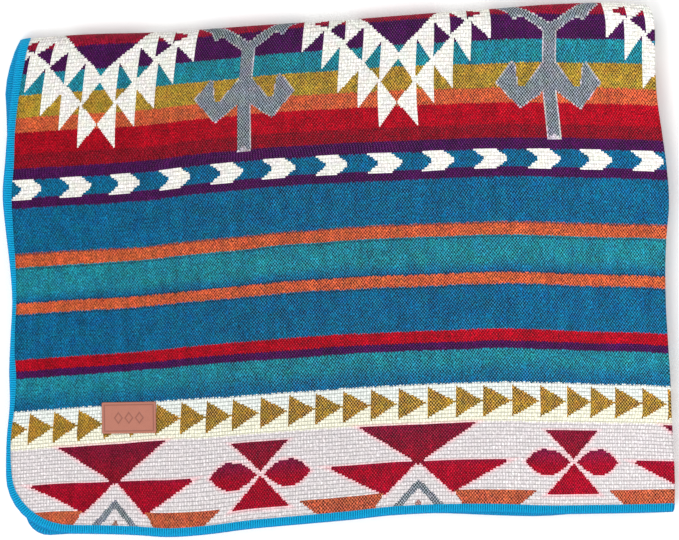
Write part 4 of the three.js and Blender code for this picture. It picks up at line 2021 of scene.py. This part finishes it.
@dataclass(frozen=True)
class Studio:
    """Pale floor, soft even light from above and a camera straight over the blanket."""

    frame_width: float = 0.7130
    camera_height: float = 6.0
    centre: tuple[float, float] = (0.0008, -0.0005)
    floor_size: float = 8.0
    top: float = 0.031
    sensor: float = 36.0
    sky: float = 1.12
    key_place: tuple[float, float, float] = (-1.1, -1.3, 2.9)
    key_size: float = 2.0
    key_power: float = 55.0

    def floor(self, material: Material) -> Piece:
        """Lays the floor.

        Args:
            material: the floor's finish.

        Returns:
            The floor.
        """
        half = self.floor_size / 2
        corners = np.array([(-half, -half, 0), (half, -half, 0), (half, half, 0), (-half, half, 0)])
        return make_piece("floor", corners, np.array([[0, 1, 2, 3]]), material)

    def lamp(self, name: str, place: tuple, size: float, power: float) -> None:
        """Hangs a square soft light that looks at the middle of the blanket.

        Args:
            name: the light's name.
            place: where it hangs, in metres.
            size: its side.
            power: its strength in watts.
        """
        light = bpy.data.lights.new(name, "AREA")
        light.shape = "SQUARE"
        light.size = size
        light.energy = power
        lamp = bpy.data.objects.new(name, light)
        lamp.location = place
        away = np.array(place, float)
        lamp.rotation_euler = (
            math.atan2(math.hypot(away[0], away[1]), away[2]),
            0.0,
            math.atan2(away[0], -away[1]),
        )
        bpy.context.scene.collection.objects.link(lamp)

    def light(self) -> None:
        """Sets the soft light."""
        world = bpy.data.worlds.new("studio")
        bpy.context.scene.world = world
        world.use_nodes = True
        world.node_tree.nodes.clear()
        sky = add_node(
            world.node_tree, "ShaderNodeBackground", {"Color": (1.0, 1.0, 1.0, 1.0), "Strength": self.sky}
        )
        add_node(world.node_tree, "ShaderNodeOutputWorld", {"Surface": sky})
        self.lamp("key", self.key_place, self.key_size, self.key_power)
        bpy.context.scene.view_settings.view_transform = "Standard"

    def camera(self) -> None:
        """Puts the camera straight above."""
        data = bpy.data.cameras.new("camera")
        distance = self.camera_height - self.top
        data.sensor_width = self.sensor
        data.lens = self.sensor * distance / self.frame_width
        data.clip_end = 50.0
        camera = bpy.data.objects.new("camera", data)
        camera.location = (*self.centre, self.camera_height)
        bpy.context.scene.collection.objects.link(camera)
        bpy.context.scene.camera = camera


# Soft folds left in the top by handling and by the layers under it
CREASES = (
    Crease(-330, 150, -120, 60, 22, -1.8),
    Crease(-60, 205, 60, -60, 20, 1.5),
    Crease(150, 230, 235, 40, 20, -1.7),
    Crease(-310, -50, -40, -85, 16, 1.4),
    Crease(60, -110, 250, -60, 18, -1.5),
    Crease(-120, -215, 20, -190, 14, 1.2),
    Crease(200, -225, 320, -150, 16, -1.4),
    Crease(300, 60, 330, -120, 13, 1.2),
)


def main() -> None:
    """Builds the blanket and its studio."""
    logging.basicConfig(level=logging.INFO, format="%(name)s: %(message)s")
    stack = FoldedStack(creases=CREASES)
    low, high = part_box("leather_patch")
    middle = (low + high) / 2 / MM
    sewing = Sewing(stack, middle.x - LeatherTag.x, middle.y - LeatherTag.y)
    cloth_maker = BlanketCloth(sewing)
    binding_maker = EdgeBinding(cloth_maker)
    yarn = OverlockYarn().build()
    # The band under the yarn is a darker blue: painted shade between the stitches
    shaded_padding = OverlockYarn("overlock_padding_painted_shade", "#0076AC", "#006292").build()
    cloth = cloth_maker.build(WovenCloth().build())
    band = binding_maker.band(shaded_padding)
    stitches = binding_maker.stitches(yarn)
    patch = LeatherTag(sewing).build(PatchLeather().build())
    dressing = (
        (cloth, "blanket_cloth", "brushed_cloth"),
        (band, "edge_binding", "overlock_yarn"),
        (stitches, "edge_binding", "overlock_yarn"),
        (patch, "leather_patch", "patch_leather"),
    )
    for piece, node, slot in dressing:
        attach(piece, "root")
        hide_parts(node)
        piece.data.calc_loop_triangles()
        LOG.info("%s: %d triangles", piece.name, len(piece.data.loop_triangles))
    studio = Studio()
    studio.floor(PaleFloor().build())
    studio.light()
    studio.camera()


if __name__ == "__main__":
    main()
